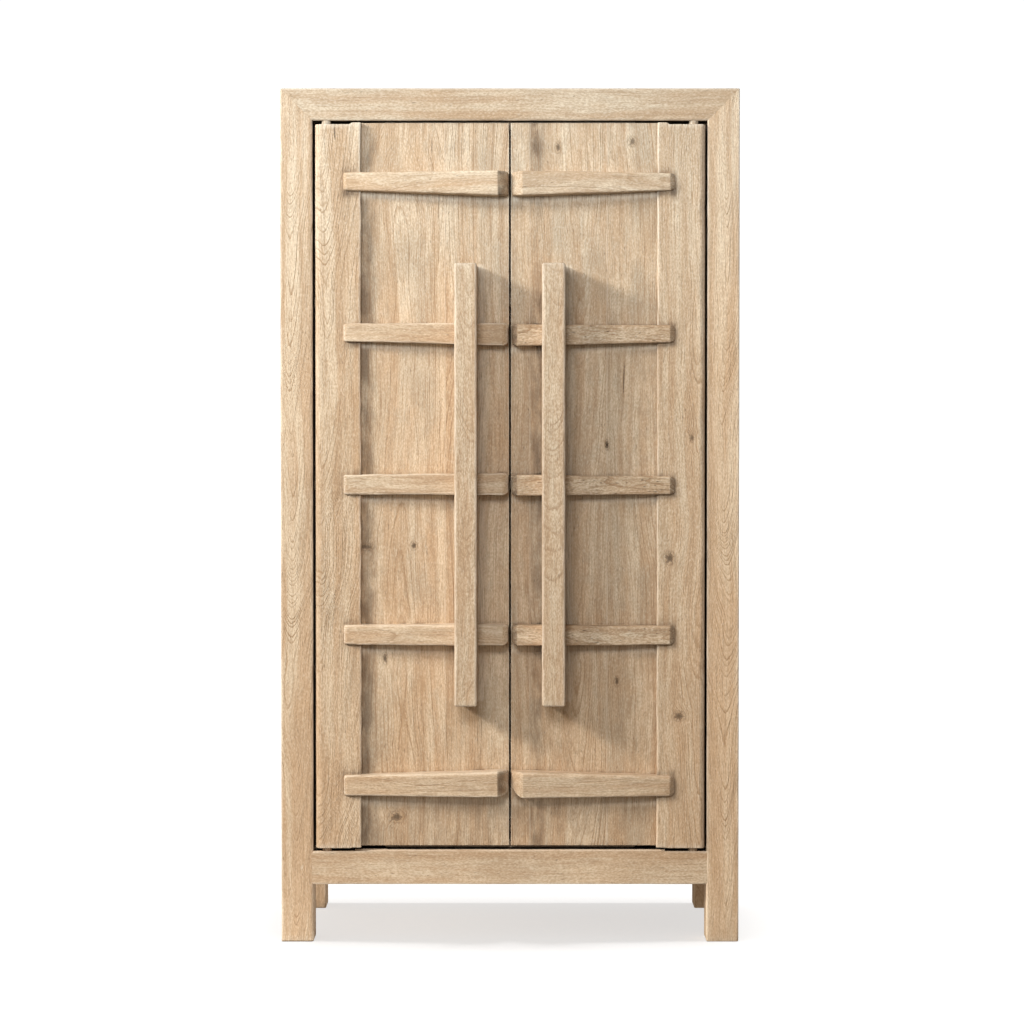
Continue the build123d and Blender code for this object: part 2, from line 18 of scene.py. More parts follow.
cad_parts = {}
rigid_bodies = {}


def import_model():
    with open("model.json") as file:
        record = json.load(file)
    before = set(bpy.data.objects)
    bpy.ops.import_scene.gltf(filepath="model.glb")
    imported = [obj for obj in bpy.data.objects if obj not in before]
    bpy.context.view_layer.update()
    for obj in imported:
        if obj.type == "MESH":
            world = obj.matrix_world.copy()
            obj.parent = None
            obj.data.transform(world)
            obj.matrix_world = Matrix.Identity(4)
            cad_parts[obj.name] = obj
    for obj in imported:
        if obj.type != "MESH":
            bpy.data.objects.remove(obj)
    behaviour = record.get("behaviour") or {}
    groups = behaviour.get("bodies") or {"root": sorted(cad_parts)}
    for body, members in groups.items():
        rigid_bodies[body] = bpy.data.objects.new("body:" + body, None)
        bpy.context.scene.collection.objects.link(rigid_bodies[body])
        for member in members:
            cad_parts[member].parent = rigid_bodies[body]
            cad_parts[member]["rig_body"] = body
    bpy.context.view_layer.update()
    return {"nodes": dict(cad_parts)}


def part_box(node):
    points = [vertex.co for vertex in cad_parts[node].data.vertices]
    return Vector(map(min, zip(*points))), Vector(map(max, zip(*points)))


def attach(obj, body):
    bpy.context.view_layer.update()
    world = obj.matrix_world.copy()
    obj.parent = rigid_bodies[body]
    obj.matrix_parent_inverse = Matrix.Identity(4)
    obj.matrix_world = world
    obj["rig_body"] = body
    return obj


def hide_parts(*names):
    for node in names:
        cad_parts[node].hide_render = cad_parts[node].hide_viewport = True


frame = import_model()

bl_info = {
    "name": "Pivot-door book cabinet",
    "version": (1, 0, 0),
    "blender": (4, 5, 0),
    "location": "3D View > Sidebar > Cabinet",
    "description": "Dresses the pieces of a reclaimed elm book cabinet",
    "category": "Object",
}

MM = 0.001
LEFT, RIGHT = -1, 1
SIDES = (("left", LEFT), ("right", RIGHT))
ROWS = range(1, 6)

# Places read from the solids.
FRAME_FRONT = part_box("bottom_front_rail")[0].y
FRAME_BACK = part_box("back_left_post")[1].y
HALF_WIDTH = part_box("front_right_post")[1].x
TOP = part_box("top_front_rail")[1].z
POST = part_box("front_right_post")[1].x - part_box("front_right_post")[0].x
POST_INNER = HALF_WIDTH - POST
TOP_RAIL_BOTTOM = TOP - POST
RAIL_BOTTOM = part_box("bottom_front_rail")[0].z
RAIL_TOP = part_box("bottom_front_rail")[1].z
PLANK_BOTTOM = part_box("left_door_plank_1")[0].z
PLANK_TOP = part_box("left_door_plank_1")[1].z
PLANK_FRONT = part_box("left_door_plank_1")[0].y
STILE_INNER = {LEFT: -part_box("left_door_stile")[1].x, RIGHT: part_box("right_door_stile")[0].x}

# Relief of the front bottom rail under the hinge stiles: its depth, where it starts, where the
# slope beside the left one ends, and how thick the sloped front part is.
RELIEF_DEEP, RELIEF_STEP, SLOPE_END, SLOPE_DEEP = (v * MM for v in (4.0, 371.0, 299.4, 9.0))
POINT_REACH = 34 * MM    # how far a bottom rail's pointed end runs past the post's face
BEARER = 28 * MM         # breadth of a bearer
PIN_RADIUS = 11 * MM     # of the pivots
LOG_GAP = 0.5            # metres between two boards in the log
MARK_DEPTH = 8.0         # how fast a knot or crack fades into the wood, per metre
STILE_SIDE = 106 * MM    # from a stile's inner edge to its outer side, painted near-black in the gap as shade

# Painted light and shade: tint of the timber low, half-way up and at the top; warmer low, a
# little darker half-way up, brighter and bluer at the top.
LOW_LIGHT_TINT, MIDDLE_LIGHT_TINT, TOP_LIGHT_TINT = (1.0, 0.96, 0.92, 1), (0.96, 0.96, 0.96, 1), (1.04, 1.11, 1.19, 1)
PAINTED_GAP_SHADE = (0.004, 0.003, 0.002, 1.0)    # painted shade: near-black on the faces inside the narrow gaps round the doors


def clamp(value, low=0, high=1):
    """The value, kept between two limits."""
    return min(high, max(low, value))


def wander(x, y, z):
    """Smooth noise, from about -1 to 1, at a point."""
    return noise.noise(Vector((x, y, z)))


def linear(text):
    """Linear red, green and blue of an sRGB hex colour."""
    parts = [int(text[i:i + 2], 16) / 255 for i in (1, 3, 5)]
    return [c / 12.92 if c <= 0.04045 else ((c + 0.055) / 1.055) ** 2.4 for c in parts]


def shade(name, value, description, **more):
    """A colour that a user may change, from linear values."""
    return FloatVectorProperty(name=name, description=description, default=value, subtype="COLOR",
                               size=3, min=0, **more)


def colour(name, text, description):
    """A surface's colour that a user may change."""
    return shade(name, linear(text), description, max=1)


def amount(name, value, description, low=0, **more):
    """A number that a user may change."""
    return FloatProperty(name=name, description=description, default=value, min=low, **more)


def size(name, millimetres, description):
    """A length that a user may change."""
    return amount(name, millimetres * MM, description, subtype="DISTANCE", unit="LENGTH")


def power(name, watts, description):
    """A lamp's power that a user may change."""
    return amount(name, watts, description, subtype="POWER", unit="POWER")


class CABINET_PG_wood(bpy.types.PropertyGroup):
    """Colours of the elm."""
    pale: colour("Pale wood", "#e2cdb0", "Earlywood of the sound, dry surface")
    tan: colour("Tan wood", "#cdb090", "Darker streaks between the rings")
    latewood: colour("Latewood", "#a38260", "Dense late band of each ring")
    grey: colour("Weathered wood", "#b3a48e", "Silvered patches")
    rust: colour("Warm stain", "#bf9971", "Warm brown patches")
    # Old dirt, and painted shade in corners, round joints, in the gaps and in shadows.
    grime: colour("Grime", "#5d4734", "Old dirt in corners and round joints")
    # Pale wear on the edges, and painted highlights and painted light on edges, top faces and planks.
    worn: colour("Worn edge", "#f4e8d4", "Edges rubbed pale")
    crack: colour("Crack", "#3a2a1d", "Inside of cracks, pores and knots")
    pivot: colour("Pivot pin", "#8a6240", "Bare hardwood pins")
    steel: colour("Steel", "#8f8d88", "Zinc-plated screws")


class CABINET_PG_shape(bpy.types.PropertyGroup):
    """Sizes of the wear."""
    frame_round: size("Frame edge", 3.0, "Rounding of the frame's edges")
    opening_round: size("Opening edge", 6.0, "Rounding of the frame's edges round the doors")
    stile_round: size("Stile edge", 3.5, "Rounding of the hinge stiles' edges")
    stile_outer: size("Outer stile edge", 12.5, "Rounding that lets the doors swing")
    batten_round: size("Batten edge", 3.5, "Rounding of the battens' edges")
    handle_round: size("Handle edge", 5.0, "Rounding of the handles' edges")
    plank_round: size("Plank edge", 0.7, "Rounding of the planks' edges")
    ring: size("Ring width", 3.0, "Distance from one growth ring to the next")
    station: size("Section step", 15.0, "Distance between sections of a board")


class CABINET_PG_stage(bpy.types.PropertyGroup):
    """Lamps, floor and lens of the studio."""
    key_power: power("Key light", 428, "Power of the soft light on the left")
    fill_power: power("Front fill", 66, "Power of the soft light in front")
    back_power: power("Back fill", 110, "Power of the soft light behind")
    bounce_power: power("Floor bounce", 0.75, "Light thrown back up to the feet")
    floor_power: amount("Floor light", 2.3, "Strength of the light from above")
    ambient_left: shade("Studio, left", (0.40, 0.39, 0.38), "Light of the studio's upper left")
    ambient_right: shade("Studio, right", (0.24, 0.225, 0.21), "Light of the studio's upper right")
    ambient_low: shade("Studio, low", (0.27, 0.24, 0.20), "Light from below")
    key_tint: shade("Key colour", (1.0, 0.97, 0.92), "Colour of the soft light on the left")
    fill_tint: shade("Fill colour", (0.92, 0.96, 1.0), "Colour of the soft light in front")
    bounce_tint: shade("Bounce colour", (0.92, 1.0, 1.07), "Colour of the light off the floor")
    glow: amount("Floor glow", 0.62, "Brightness of the lit white floor")
    lens: amount("Lens", 92.46, "Focal length in millimetres on a 36 mm sensor", low=1)


# ---- timber ------------------------------------------------------------------------------
@dataclass
class Board:
    """A length of timber, lofted from rounded sections with uneven, worn edges.

    along is the axis of its length; the two other axes, in X, Y, Z order, are its first and
    second breadth. Spans are lists of (from, to) over X, Y, Z.
    """
    spans: list
    along: int
    seed: int
    edge: float
    end: float | None = None           # rounding of the ends
    cuts: int | tuple = 40             # millimetres between points, for each side or for all four
    wave: float = 0.5                  # depth of the faces' unevenness, millimetres
    limits: object = None              # gives the breadths' limits at a place along the length
    stops: list | tuple = ()           # places with a section of their own
    arc: int = 4                       # steps in each rounded edge
    pith: list | None = None           # middle of the log, from the board's middle
    climb: object = -0.04              # run-out of the rings, a share of the length or a function of it
    ding: float = 1.0                  # strength of the dents
    rounds: list | None = None         # rounding of each long edge
    grime: object = None               # gives the dirt and painted shade at a point
    wear: object = None                # gives painted light and highlights at a point, drawn as pale wood
    edge_wear_and_highlight: float = 1.0                   # how pale the edges are rubbed and painted as highlights

    def __post_init__(self):
        self.across = [axis for axis in range(3) if axis != self.along]
        self.span = self.spans[self.along]
        self.rounds = self.rounds or (self.edge,) * 4
        self.cuts = self.cuts if isinstance(self.cuts, tuple) else (self.cuts,) * 4
        self.end = self.edge if self.end is None else self.end
        draw = random.Random(self.seed)
        widths = [self.spans[axis][1] - self.spans[axis][0] for axis in self.across]
        deep = 0 if widths[0] < widths[1] else 1
        offset = [0, 0]
        offset[deep] = draw.uniform(0.05, 0.11) * draw.choice((-1, 1))
        offset[1 - deep] = draw.uniform(-0.35, 0.35) * widths[1 - deep]
        self.pith = self.pith or offset
        rate = self.climb
        self.climb = rate if callable(rate) else lambda s: rate * s
        self.shift = draw.uniform(0, 40)

    def bounds(self, s):
        """First and second breadth's limits at a place along the length."""
        if self.limits:
            return self.limits(s)
        (b0, b1), (c0, c1) = (self.spans[axis] for axis in self.across)
        return b0, b1, c0, c1

    def point(self, s, b, c):
        """Point from its place along the length and across it."""
        made = [0, 0, 0]
        made[self.along], made[self.across[0]], made[self.across[1]] = s, b, c
        return Vector(made)

    def radius(self, s, corner):
        """Rounding of one long edge at a place along the length."""
        broad = wander(s * 9, corner * 7.3, self.seed * 3.1)
        fine = wander(s * 45, corner * 5.7, self.seed * 1.7)
        dent = max(0, wander(s * 22, corner * 3.9, self.seed * 2.3) - 0.42)
        wear = 1 + 0.35 * broad + 0.15 * fine
        return self.rounds[corner] * wear + 3.0 * self.edge * dent * self.ding

    def ring(self, s, inset):
        """Points of the rounded section at a place along the length, shrunk by an inset."""
        b0, b1, c0, c1 = self.bounds(s)
        b0, b1, c0, c1 = b0 + inset, b1 - inset, c0 + inset, c1 - inset
        corners = ((b0, c0), (b1, c0), (b1, c1), (b0, c1))
        signs = ((-1, -1), (1, -1), (1, 1), (-1, 1))
        most = 0.49 * min(b1 - b0, c1 - c0)
        arcs = []
        for k, ((b, c), (sb, sc)) in enumerate(zip(corners, signs)):
            r = min(most, max(0.15 * MM, self.radius(s, k) - inset * 0.6))
            start = math.pi * (1 + k / 2)
            arcs.append([(b - sb * r + r * math.cos(start + math.pi / 2 * i / self.arc),
                          c - sc * r + r * math.sin(start + math.pi / 2 * i / self.arc))
                         for i in range(self.arc + 1)])
        points = []
        for k in range(4):
            points += arcs[k]
            points += self.side(s, k, arcs[k][-1], arcs[(k + 1) % 4][0])
        return points

    def side(self, s, k, start, finish):
        """Points along one flat side, hollowed a little by a slow wave."""
        length = math.hypot(finish[0] - start[0], finish[1] - start[1])
        (b0, b1), (c0, c1) = (self.spans[axis] for axis in self.across)
        nominal = (b1 - b0) if k % 2 == 0 else (c1 - c0)
        count = max(1, round(nominal / (self.cuts[k] * MM)))
        guard = min(0.25, 3 * MM / max(length, MM))
        shares = [guard] + [guard + (1 - 2 * guard) * i / count for i in range(1, count)] + [1 - guard]
        inward = ((0, 1), (-1, 0), (0, -1), (1, 0))[k]
        made = []
        for share in shares:
            b = start[0] + (finish[0] - start[0]) * share
            c = start[1] + (finish[1] - start[1]) * share
            wave = self.hollow(s, b, c, k)
            fade = min(1, min(share, 1 - share) * length / (14 * MM))
            made.append((b + inward[0] * wave * fade, c + inward[1] * wave * fade))
        return made

    def hollow(self, s, b, c, k):
        """Depth of the surface's slow unevenness."""
        broad = wander(s * 5, b * 16 + k * 9, c * 16 + self.seed)
        fine = wander(s * 14, b * 45 + k * 5, c * 45 + self.seed * 2)
        return self.wave * MM * (0.9 + 0.75 * broad + 0.35 * fine)

    def stations(self, step):
        """Places of the sections, closer together over the rounded ends."""
        s0, s1 = self.span
        count = max(2, round((s1 - s0 - 2 * self.end) / step))
        inner = [s0 + self.end + (s1 - s0 - 2 * self.end) * i / count for i in range(count + 1)]
        inner = sorted(set(inner) | set(self.stops))
        turns = (0.0, 0.35, 0.7)
        start = [(s0 + self.end * (1 - math.sin(math.pi / 2 * (1 - t))), t) for t in turns]
        start = [(s, self.end * (1 - math.cos(math.pi / 2 * (1 - t)))) for s, t in start]
        finish = [(s0 + s1 - s, inset) for s, inset in reversed(start)]
        return start + [(s, 0.0) for s in inner] + finish

    def mesh(self, step):
        """The closed board."""
        made = bmesh.new()
        rings = []
        for s, inset in self.stations(step):
            rings.append([made.verts.new(self.point(s, b, c)) for b, c in self.ring(s, inset)])
        for one, two in zip(rings, rings[1:]):
            for i in range(len(one)):
                j = (i + 1) % len(one)
                made.faces.new((one[i], one[j], two[j], two[i]))
        made.faces.new(list(reversed(rings[0])))
        made.faces.new(rings[-1])
        bmesh.ops.recalc_face_normals(made, faces=made.faces[:])
        return made

    def place(self, point):
        """Where a point lies in the log: along it, then across from its pith."""
        s = point[self.along]
        middle = [(self.spans[a][0] + self.spans[a][1]) / 2 for a in self.across]
        across = [point[a] - middle[i] - self.pith[i] for i, a in enumerate(self.across)]
        return Vector((s + self.shift, across[0] + LOG_GAP * self.seed, across[1]))

    def state(self, point):
        """Pale wear and painted highlight of the edge, dirt and painted shade, and the climb of the
        rings at a point, for the finish.
        """
        s = point[self.along]
        b, c = (point[a] for a in self.across)
        b0, b1, c0, c1 = self.bounds(min(max(s, self.span[0]), self.span[1]))
        gaps = sorted((min(b - b0, b1 - b), min(c - c0, c1 - c),
                       min(s - self.span[0], self.span[1] - s)))
        rubbed = self.edge_wear_and_highlight * (1 - (gaps[1] - 0.3 * self.edge) / (1.2 * self.edge))
        rubbed = max(rubbed, self.wear(point)) if self.wear else rubbed
        dirt = self.grime(point) if self.grime else 0.0
        return Vector((clamp(rubbed), clamp(dirt, 0, 2), self.climb(s)))


def linked(name, data):
    """New object in the scene."""
    made = bpy.data.objects.new(name, data)
    bpy.context.scene.collection.objects.link(made)
    return made


def cut(mesh, point, normal):
    """Saw a board through a plane, keep what lies behind it and close the cut."""
    bmesh.ops.bisect_plane(mesh, geom=mesh.verts[:] + mesh.edges[:] + mesh.faces[:],
                           plane_co=point, plane_no=normal, clear_outer=True, dist=1e-6)
    rim = [edge for edge in mesh.edges if edge.is_boundary]
    bmesh.ops.holes_fill(mesh, edges=rim)


def piece(node, boards, material, cuts=(), step=None, kind="timber"):
    """Make one object of some boards, in the place of a CAD node, on its body."""
    step = step or bpy.context.scene.cabinet_shape.station
    whole = bmesh.new()
    for board in boards:
        mesh = board.mesh(step)
        for plane in cuts:
            cut(mesh, *plane)
        bmesh.ops.recalc_face_normals(mesh, faces=mesh.faces[:])
        place = mesh.verts.layers.float_vector.new("place")
        state = mesh.verts.layers.float_vector.new("state")
        for vert in mesh.verts:
            vert[place] = board.place(vert.co)
            vert[state] = board.state(vert.co)
        part = bpy.data.meshes.new("part")
        mesh.to_mesh(part)
        mesh.free()
        whole.from_mesh(part)
        bpy.data.meshes.remove(part)
    name = f"{node}_{kind}"
    data = bpy.data.meshes.new(name)
    whole.to_mesh(data)
    whole.free()
    data.shade_smooth()
    data.set_sharp_from_angle(angle=math.radians(38))
    data.materials.append(material)
    made = linked(name, data)
    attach(made, frame["nodes"][node]["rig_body"])
    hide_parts(node)
    return made


def old_marks(boards, marks):
    """Each knot or crack on the front of some boards, at its place in the log."""
    found = []
    for board in boards:
        for x, z, *shape in marks:
            if board.spans[0][0] < x * MM < board.spans[0][1]:
                spot = board.place(Vector((x * MM, board.spans[1][0], z * MM)))
                found.append((spot, *shape))
    return found


def spans_of(node, **changes):
    """The spans of a CAD node's box over X, Y and Z, with some of them changed."""
    low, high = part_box(node)
    spans = [(low[k], high[k]) for k in range(3)]
    for axis, span in changes.items():
        spans["xyz".index(axis)] = span
    return spans


# ---- finishes ------------------------------------------------------------------------------
TIMES, PLUS, LESS, OVER, TIMES_PLUS, LARGER = (
    {"operation": word} for word in ("MULTIPLY", "ADD", "SUBTRACT", "DIVIDE", "MULTIPLY_ADD", "MAXIMUM"))
SMOOTH = {"interpolation_type": "SMOOTHSTEP"}
COLOURS = {"data_type": "RGBA", "out": 2}


def add(tree, kind, inputs=(), out=0, **settings):
    """Add a node with its settings, values and links, and return one output, or the node."""
    made = tree.nodes.new("ShaderNode" + kind)
    for key, value in settings.items():
        setattr(made, key, value)
    for key, value in inputs.items() if isinstance(inputs, dict) else enumerate(inputs):
        if isinstance(value, bpy.types.NodeSocket):
            tree.links.new(value, made.inputs[key])
        else:
            made.inputs[key].default_value = value
    return made if out is None else made.outputs[out]


def fresh(name):
    """New material, with its tree, its surface shader and nothing else."""
    material = bpy.data.materials.new(name)
    material.use_nodes = True
    tree = material.node_tree
    tree.nodes.clear()
    shader = add(tree, "BsdfPrincipled", out=None)
    add(tree, "OutputMaterial", {"Surface": shader.outputs[0]}, out=None)
    return material, tree, shader


def elm(name, ring=1.0, late=0.5, fibre=0.4, dash=0.4, patch=0.4, rust=0.3, grime=0.7,
        streak=0.25, relief=0.5, rough=0.78, bright=1.0, curl=0.6, speckle=0.3, marks=()):
    """Reclaimed elm, dry and unvarnished: fine rings, long fibres, pores, old dirt and painted
    shade, pale wear and painted highlights.

    marks are knots and cracks: (place in the log, half length, half width, darkness, swirl).
    """
    wood = bpy.context.scene.cabinet_wood
    ring_width = bpy.context.scene.cabinet_shape.ring * ring
    material, tree, shader = fresh(name)
    put = partial(add, tree)
    place = put("Attribute", out="Vector", attribute_name="place")
    state = put("Attribute", out="Vector", attribute_name="state")
    rubbed, dirt_and_shade_share, climb = put("SeparateXYZ", (state,), out=None).outputs

    def grain(vector, along, across, detail=2.0, out="Fac"):
        """Noise stretched along the grain, from periods in millimetres."""
        scale = (1 / (along * MM), 1 / (across * MM), 1 / (across * MM))
        moved = put("VectorMath", (vector, scale), **TIMES)
        return put("TexNoise", {"Vector": moved, "Scale": 1.0, "Detail": detail}, out=out)

    def largest(values):
        """Largest of some values."""
        made = values[0]
        for value in values[1:]:
            made = put("Math", (made, value), **LARGER)
        return made

    # Slow and short wander of the grain.
    bent = place
    for along, across, sway in ((460, 190, 0.05), (130, 55, 0.014 * curl)):
        drift = grain(place, along, across, 1.0, "Color")
        drift = put("VectorMath", (drift, (0.5, 0.5, 0.5)), **LESS)
        bent = put("VectorMath", (drift, (0.0, sway, sway), bent), **TIMES_PLUS)

    # Rings round the board's pith.
    parts = put("SeparateXYZ", (bent,), out=None).outputs
    number = put("Math", (put("Math", (parts[1], LOG_GAP), **OVER),), operation="ROUND")
    off = put("Math", (number, -LOG_GAP, parts[1]), **TIMES_PLUS)
    squares = put("Math", (off, off, put("Math", (parts[2], parts[2]), **TIMES)), **TIMES_PLUS)
    rings = put("Math", (put("Math", (squares,), operation="SQRT"), climb), **PLUS)
    rings = put("Math", (rings, ring_width), **OVER)
    rings = put("Math", (grain(place, 13, 2.6, 1.0), 0.45, rings), **TIMES_PLUS)

    # Knots with star-like cracks and rings that swirl round them, and plain cracks.
    ragged = put("Math", (grain(place, 9, 6), 1.3, 0.35), **TIMES_PLUS)
    darks, halos, eyes = [], [], []
    for spot, half_length, half_width, darkness, swirl in marks:
        away = put("VectorMath", (bent if half_width < 2 else place, spot), **LESS)
        scale = (1 / (half_length * MM), 1 / (half_width * MM), MARK_DEPTH)
        away = put("VectorMath", (away, scale), **TIMES)
        gap = put("VectorMath", (away,), out="Value", operation="LENGTH")
        rough_gap = put("Math", (gap, ragged), **TIMES)
        darks.append(put("MapRange", (rough_gap, 1.05, 0.45, 0.0, darkness), **SMOOTH))
        if not swirl:
            continue
        arms = put("VectorMath", (away,), operation="NORMALIZE")
        arms = put("VectorMath", (arms, (1.0, 1.0, 1.0), spot), **TIMES_PLUS)
        arms = put("TexNoise", {"Vector": arms, "Scale": 2.2, "Detail": 2.0}, out="Fac")
        arms = put("Math", (rough_gap, -0.06, arms), **TIMES_PLUS)
        turn = put("Math", (put("Math", (gap, 0.95, ragged), **TIMES_PLUS),), operation="FRACT")
        for found, line, low, high, end, start, depth in (
                (darks, arms, 0.44, 0.53, 2.2, 1.0, 0.8 * darkness),
                (eyes, turn, 0.45, 0.8, 2.4, 1.2, darkness)):
            fade = put("MapRange", (gap, end, start, 0.0, depth), **SMOOTH)
            found.append(put("Math", (put("MapRange", (line, low, high), **SMOOTH), fade), **TIMES))
        halos.append(put("MapRange", (gap, 3.0, 0.8, 0.0, darkness), **SMOOTH))
        rings = put("Math", (rings, put("MapRange", (gap, 4.5, 0.0, 0.0, swirl), **SMOOTH)), **PLUS)

    # Late wood: a dark line at the end of each ring, stronger in some rings and places.
    share = put("Math", (rings,), operation="FRACT")
    luck = put("Math", (rings,), operation="FLOOR")
    luck = put("TexWhiteNoise", {"W": luck}, out="Value", noise_dimensions="1D")
    clouds = put("SeparateColor", (grain(place, 260, 110, out="Color"),), out=None).outputs
    band = put("MapRange", (share, 0.5, 0.93), **SMOOTH)
    for factor in ((share, 1.0, 0.96), (luck, 0.25, 0.85, 0.15, 1.0), (clouds[2], 0.38, 0.6, 0.45, 1.0)):
        band = put("Math", (band, put("MapRange", factor, **SMOOTH)), **TIMES)

    # Layers of colour. Fibres and pores are finer than a millimetre in elm, and are drawn about
    # three millimetres apart, so that they show.
    fibres, coarse, fine = grain(bent, 75, 3.4), grain(bent, 210, 7.0), grain(bent, 6.5, 2.8)
    mottle = put("SeparateColor", (grain(place, 42, 18, 3.0, "Color"),), out=None).outputs
    layers = [(put("MapRange", (source, low, high, 0.0, strength), **SMOOTH), tone)
              for source, low, high, strength, tone in (
        (mottle[0], 0.45, 0.7, patch * 0.6, wood.grey),
        (mottle[1], 0.45, 0.7, rust * 0.7, wood.rust),
        (clouds[0], 0.48, 0.68, patch, wood.grey),
        (clouds[1], 0.48, 0.68, rust, wood.rust),
        (grain(bent, 620, 4.6), 0.56, 0.68, streak, wood.latewood),
        (coarse, 0.5, 0.68, fibre * 0.3, wood.latewood),
        (fibres, 0.5, 0.66, fibre, wood.latewood),
        (fine, 0.42, 0.64, speckle, wood.latewood),
        (fine, 0.44, 0.3, 0.5 * speckle, wood.worn))]
    layers.insert(5, (put("Math", (band, late), **TIMES), wood.latewood))
    # Dirt and painted shade in uneven blotches, from the second part of the state attribute.
    uneven = put("MapRange", (grain(place, 55, 24, 3.0), 0.3, 0.66, 0.2 * grime, grime), **SMOOTH)
    layers.append((put("Math", (dirt_and_shade_share, uneven), **TIMES), wood.grime))
    # Pale wear and painted highlights and light, from the first part of the state attribute.
    uneven = put("MapRange", (fibres, 0.3, 0.7, 0.6, 0.15), **SMOOTH)
    layers.append((put("Math", (rubbed, uneven), **TIMES), wood.worn))
    darks.append(put("MapRange", (grain(bent, 14, 2.8, 1.0), 0.68, 0.78, 0.0, dash), **SMOOTH))
    if halos:
        layers.append((put("Math", (largest(halos), 0.4), **TIMES), wood.latewood))
        darks.append(put("Math", (largest(eyes), 0.7), **TIMES))
    holes = largest(darks)
    layers.append((holes, wood.crack))
    broad = put("MapRange", (grain(bent, 800, 26), 0.36, 0.64), **SMOOTH)
    made = put("Mix", {0: broad, 6: (*wood.tan, 1.0), 7: (*wood.pale, 1.0)}, **COLOURS)
    for share, tone in layers:
        made = put("Mix", {0: share, 6: made, 7: (*tone, 1.0)}, **COLOURS)
    # Painted shade: past one, the dirt and shade turn near-black, for the faces in the narrow gaps.
    deep = put("MapRange", (dirt_and_shade_share, 1.0, 1.9), **SMOOTH)
    made = put("Mix", {0: deep, 6: made, 7: PAINTED_GAP_SHADE}, **COLOURS)

    # Each board's own tone, and a painted tint of light and shade over the cabinet's height.
    tone = put("TexWhiteNoise", {"W": number}, out="Value", noise_dimensions="1D")
    value = put("Math", (tone, 0.07, bright - 0.035), **TIMES_PLUS)
    made = put("HueSaturation", {"Color": made, "Value": value})
    up = put("SeparateXYZ", (put("TexCoord", out="Object"),), out=2)
    tint = LOW_LIGHT_TINT
    for low, high, above in ((0.2, 1.1, MIDDLE_LIGHT_TINT), (1.3, 1.95, TOP_LIGHT_TINT)):
        share = put("MapRange", (up, low, high), **SMOOTH)
        tint = put("Mix", {0: share, 6: tint, 7: above}, **COLOURS)
    made = put("Mix", {0: 1.0, 6: made, 7: tint}, blend_type="MULTIPLY", **COLOURS)

    height = put("MapRange", (fibres, 0.5, 0.66, 0.0, -0.4), **SMOOTH)
    for source, depth in ((band, -0.7), (coarse, -0.8), (fine, -0.9), (mottle[2], 0.5), (holes, -1.0)):
        height = put("Math", (source, depth, height), **TIMES_PLUS)
    bump = put("Bump", {"Height": height, "Strength": relief, "Distance": MM})
    dull = put("MapRange", (fibres, 0.2, 0.8, rough + 0.08, rough - 0.08), **SMOOTH)
    for socket, source in (("Base Color", made), ("Normal", bump), ("Roughness", dull)):
        tree.links.new(source, shader.inputs[socket])
    shader.inputs["Specular IOR Level"].default_value = 0.3
    shader.inputs["IOR"].default_value = 1.5
    return material


def plated_steel():
    """Zinc-plated steel, stamped: dull grey metal with scratches a little over a millimetre apart."""
    material, tree, shader = fresh("zinc_plated_steel")
    coords = add(tree, "TexCoord", out="Object")
    scuffs = add(tree, "TexNoise", {"Vector": coords, "Scale": 0.9 / MM, "Detail": 3.0}, out="Fac")
    steel = (*bpy.context.scene.cabinet_wood.steel, 1.0)
    dull = add(tree, "Mix", {0: scuffs, 6: steel, 7: (0.16, 0.15, 0.14, 1.0)}, **COLOURS)
    tree.links.new(dull, shader.inputs["Base Color"])
    rough = add(tree, "MapRange", {0: scuffs, 3: 0.35, 4: 0.6})
    tree.links.new(rough, shader.inputs["Roughness"])
    shader.inputs["Metallic"].default_value = 1.0
    return material


def shaded(deep, start):
    """Painted shade on the faces round the doors, at a depth in millimetres behind the front;
    above one it is drawn near-black.
    """
    return 1.7 * clamp((deep - start) / 3) * clamp((55 - deep) / 10)


def contact(gap, broad, reach, line, flat=0.0):
    """Dirt and painted shade at a distance in millimetres from a joint: a broad darkening and a
    dark line.
    """
    gap = max(0, gap)
    return broad * math.exp(-max(0, gap - flat) / reach) + line * math.exp(-max(0, gap - flat / 3) / 2.6)


def hump(value, middle, breadth):
    """One in the middle, fading away on both sides."""
    return math.exp(-((value - middle) / breadth) ** 2)


# ---- carcass ---------------------------------------------------------------------------------
def mitre_planes(own, side, back):
    """The two sawn faces of a member that runs along an axis into a top corner."""
    corner = Vector((side * POST_INNER, FRAME_BACK - POST if back else FRAME_FRONT + POST,
                     TOP_RAIL_BOTTOM))
    signs = (side, 1 if back else -1, 1)
    planes = []
    for other in (axis for axis in range(3) if axis != own):
        normal = Vector((0, 0, 0))
        normal[own] = signs[own]
        normal[other] = -signs[other]
        planes.append((corner, normal))
    return planes


def point_planes(end, outward, middle, half, axis):
    """The two sawn faces that bring a rail's end to a point."""
    planes = []
    for up in (-1, 1):
        tip = Vector((0, 0, middle))
        tip[axis] = end + outward * POINT_REACH
        normal = Vector((0, 0, up * POINT_REACH))
        normal[axis] = outward * half
        planes.append((tip, normal))
    return planes


def carcass_board(spans, along, seed, edge, **more):
    """Board with the slight waves of planed carcass timber."""
    return Board(spans, along, seed, edge, wave=0.35, cuts=25, **more)


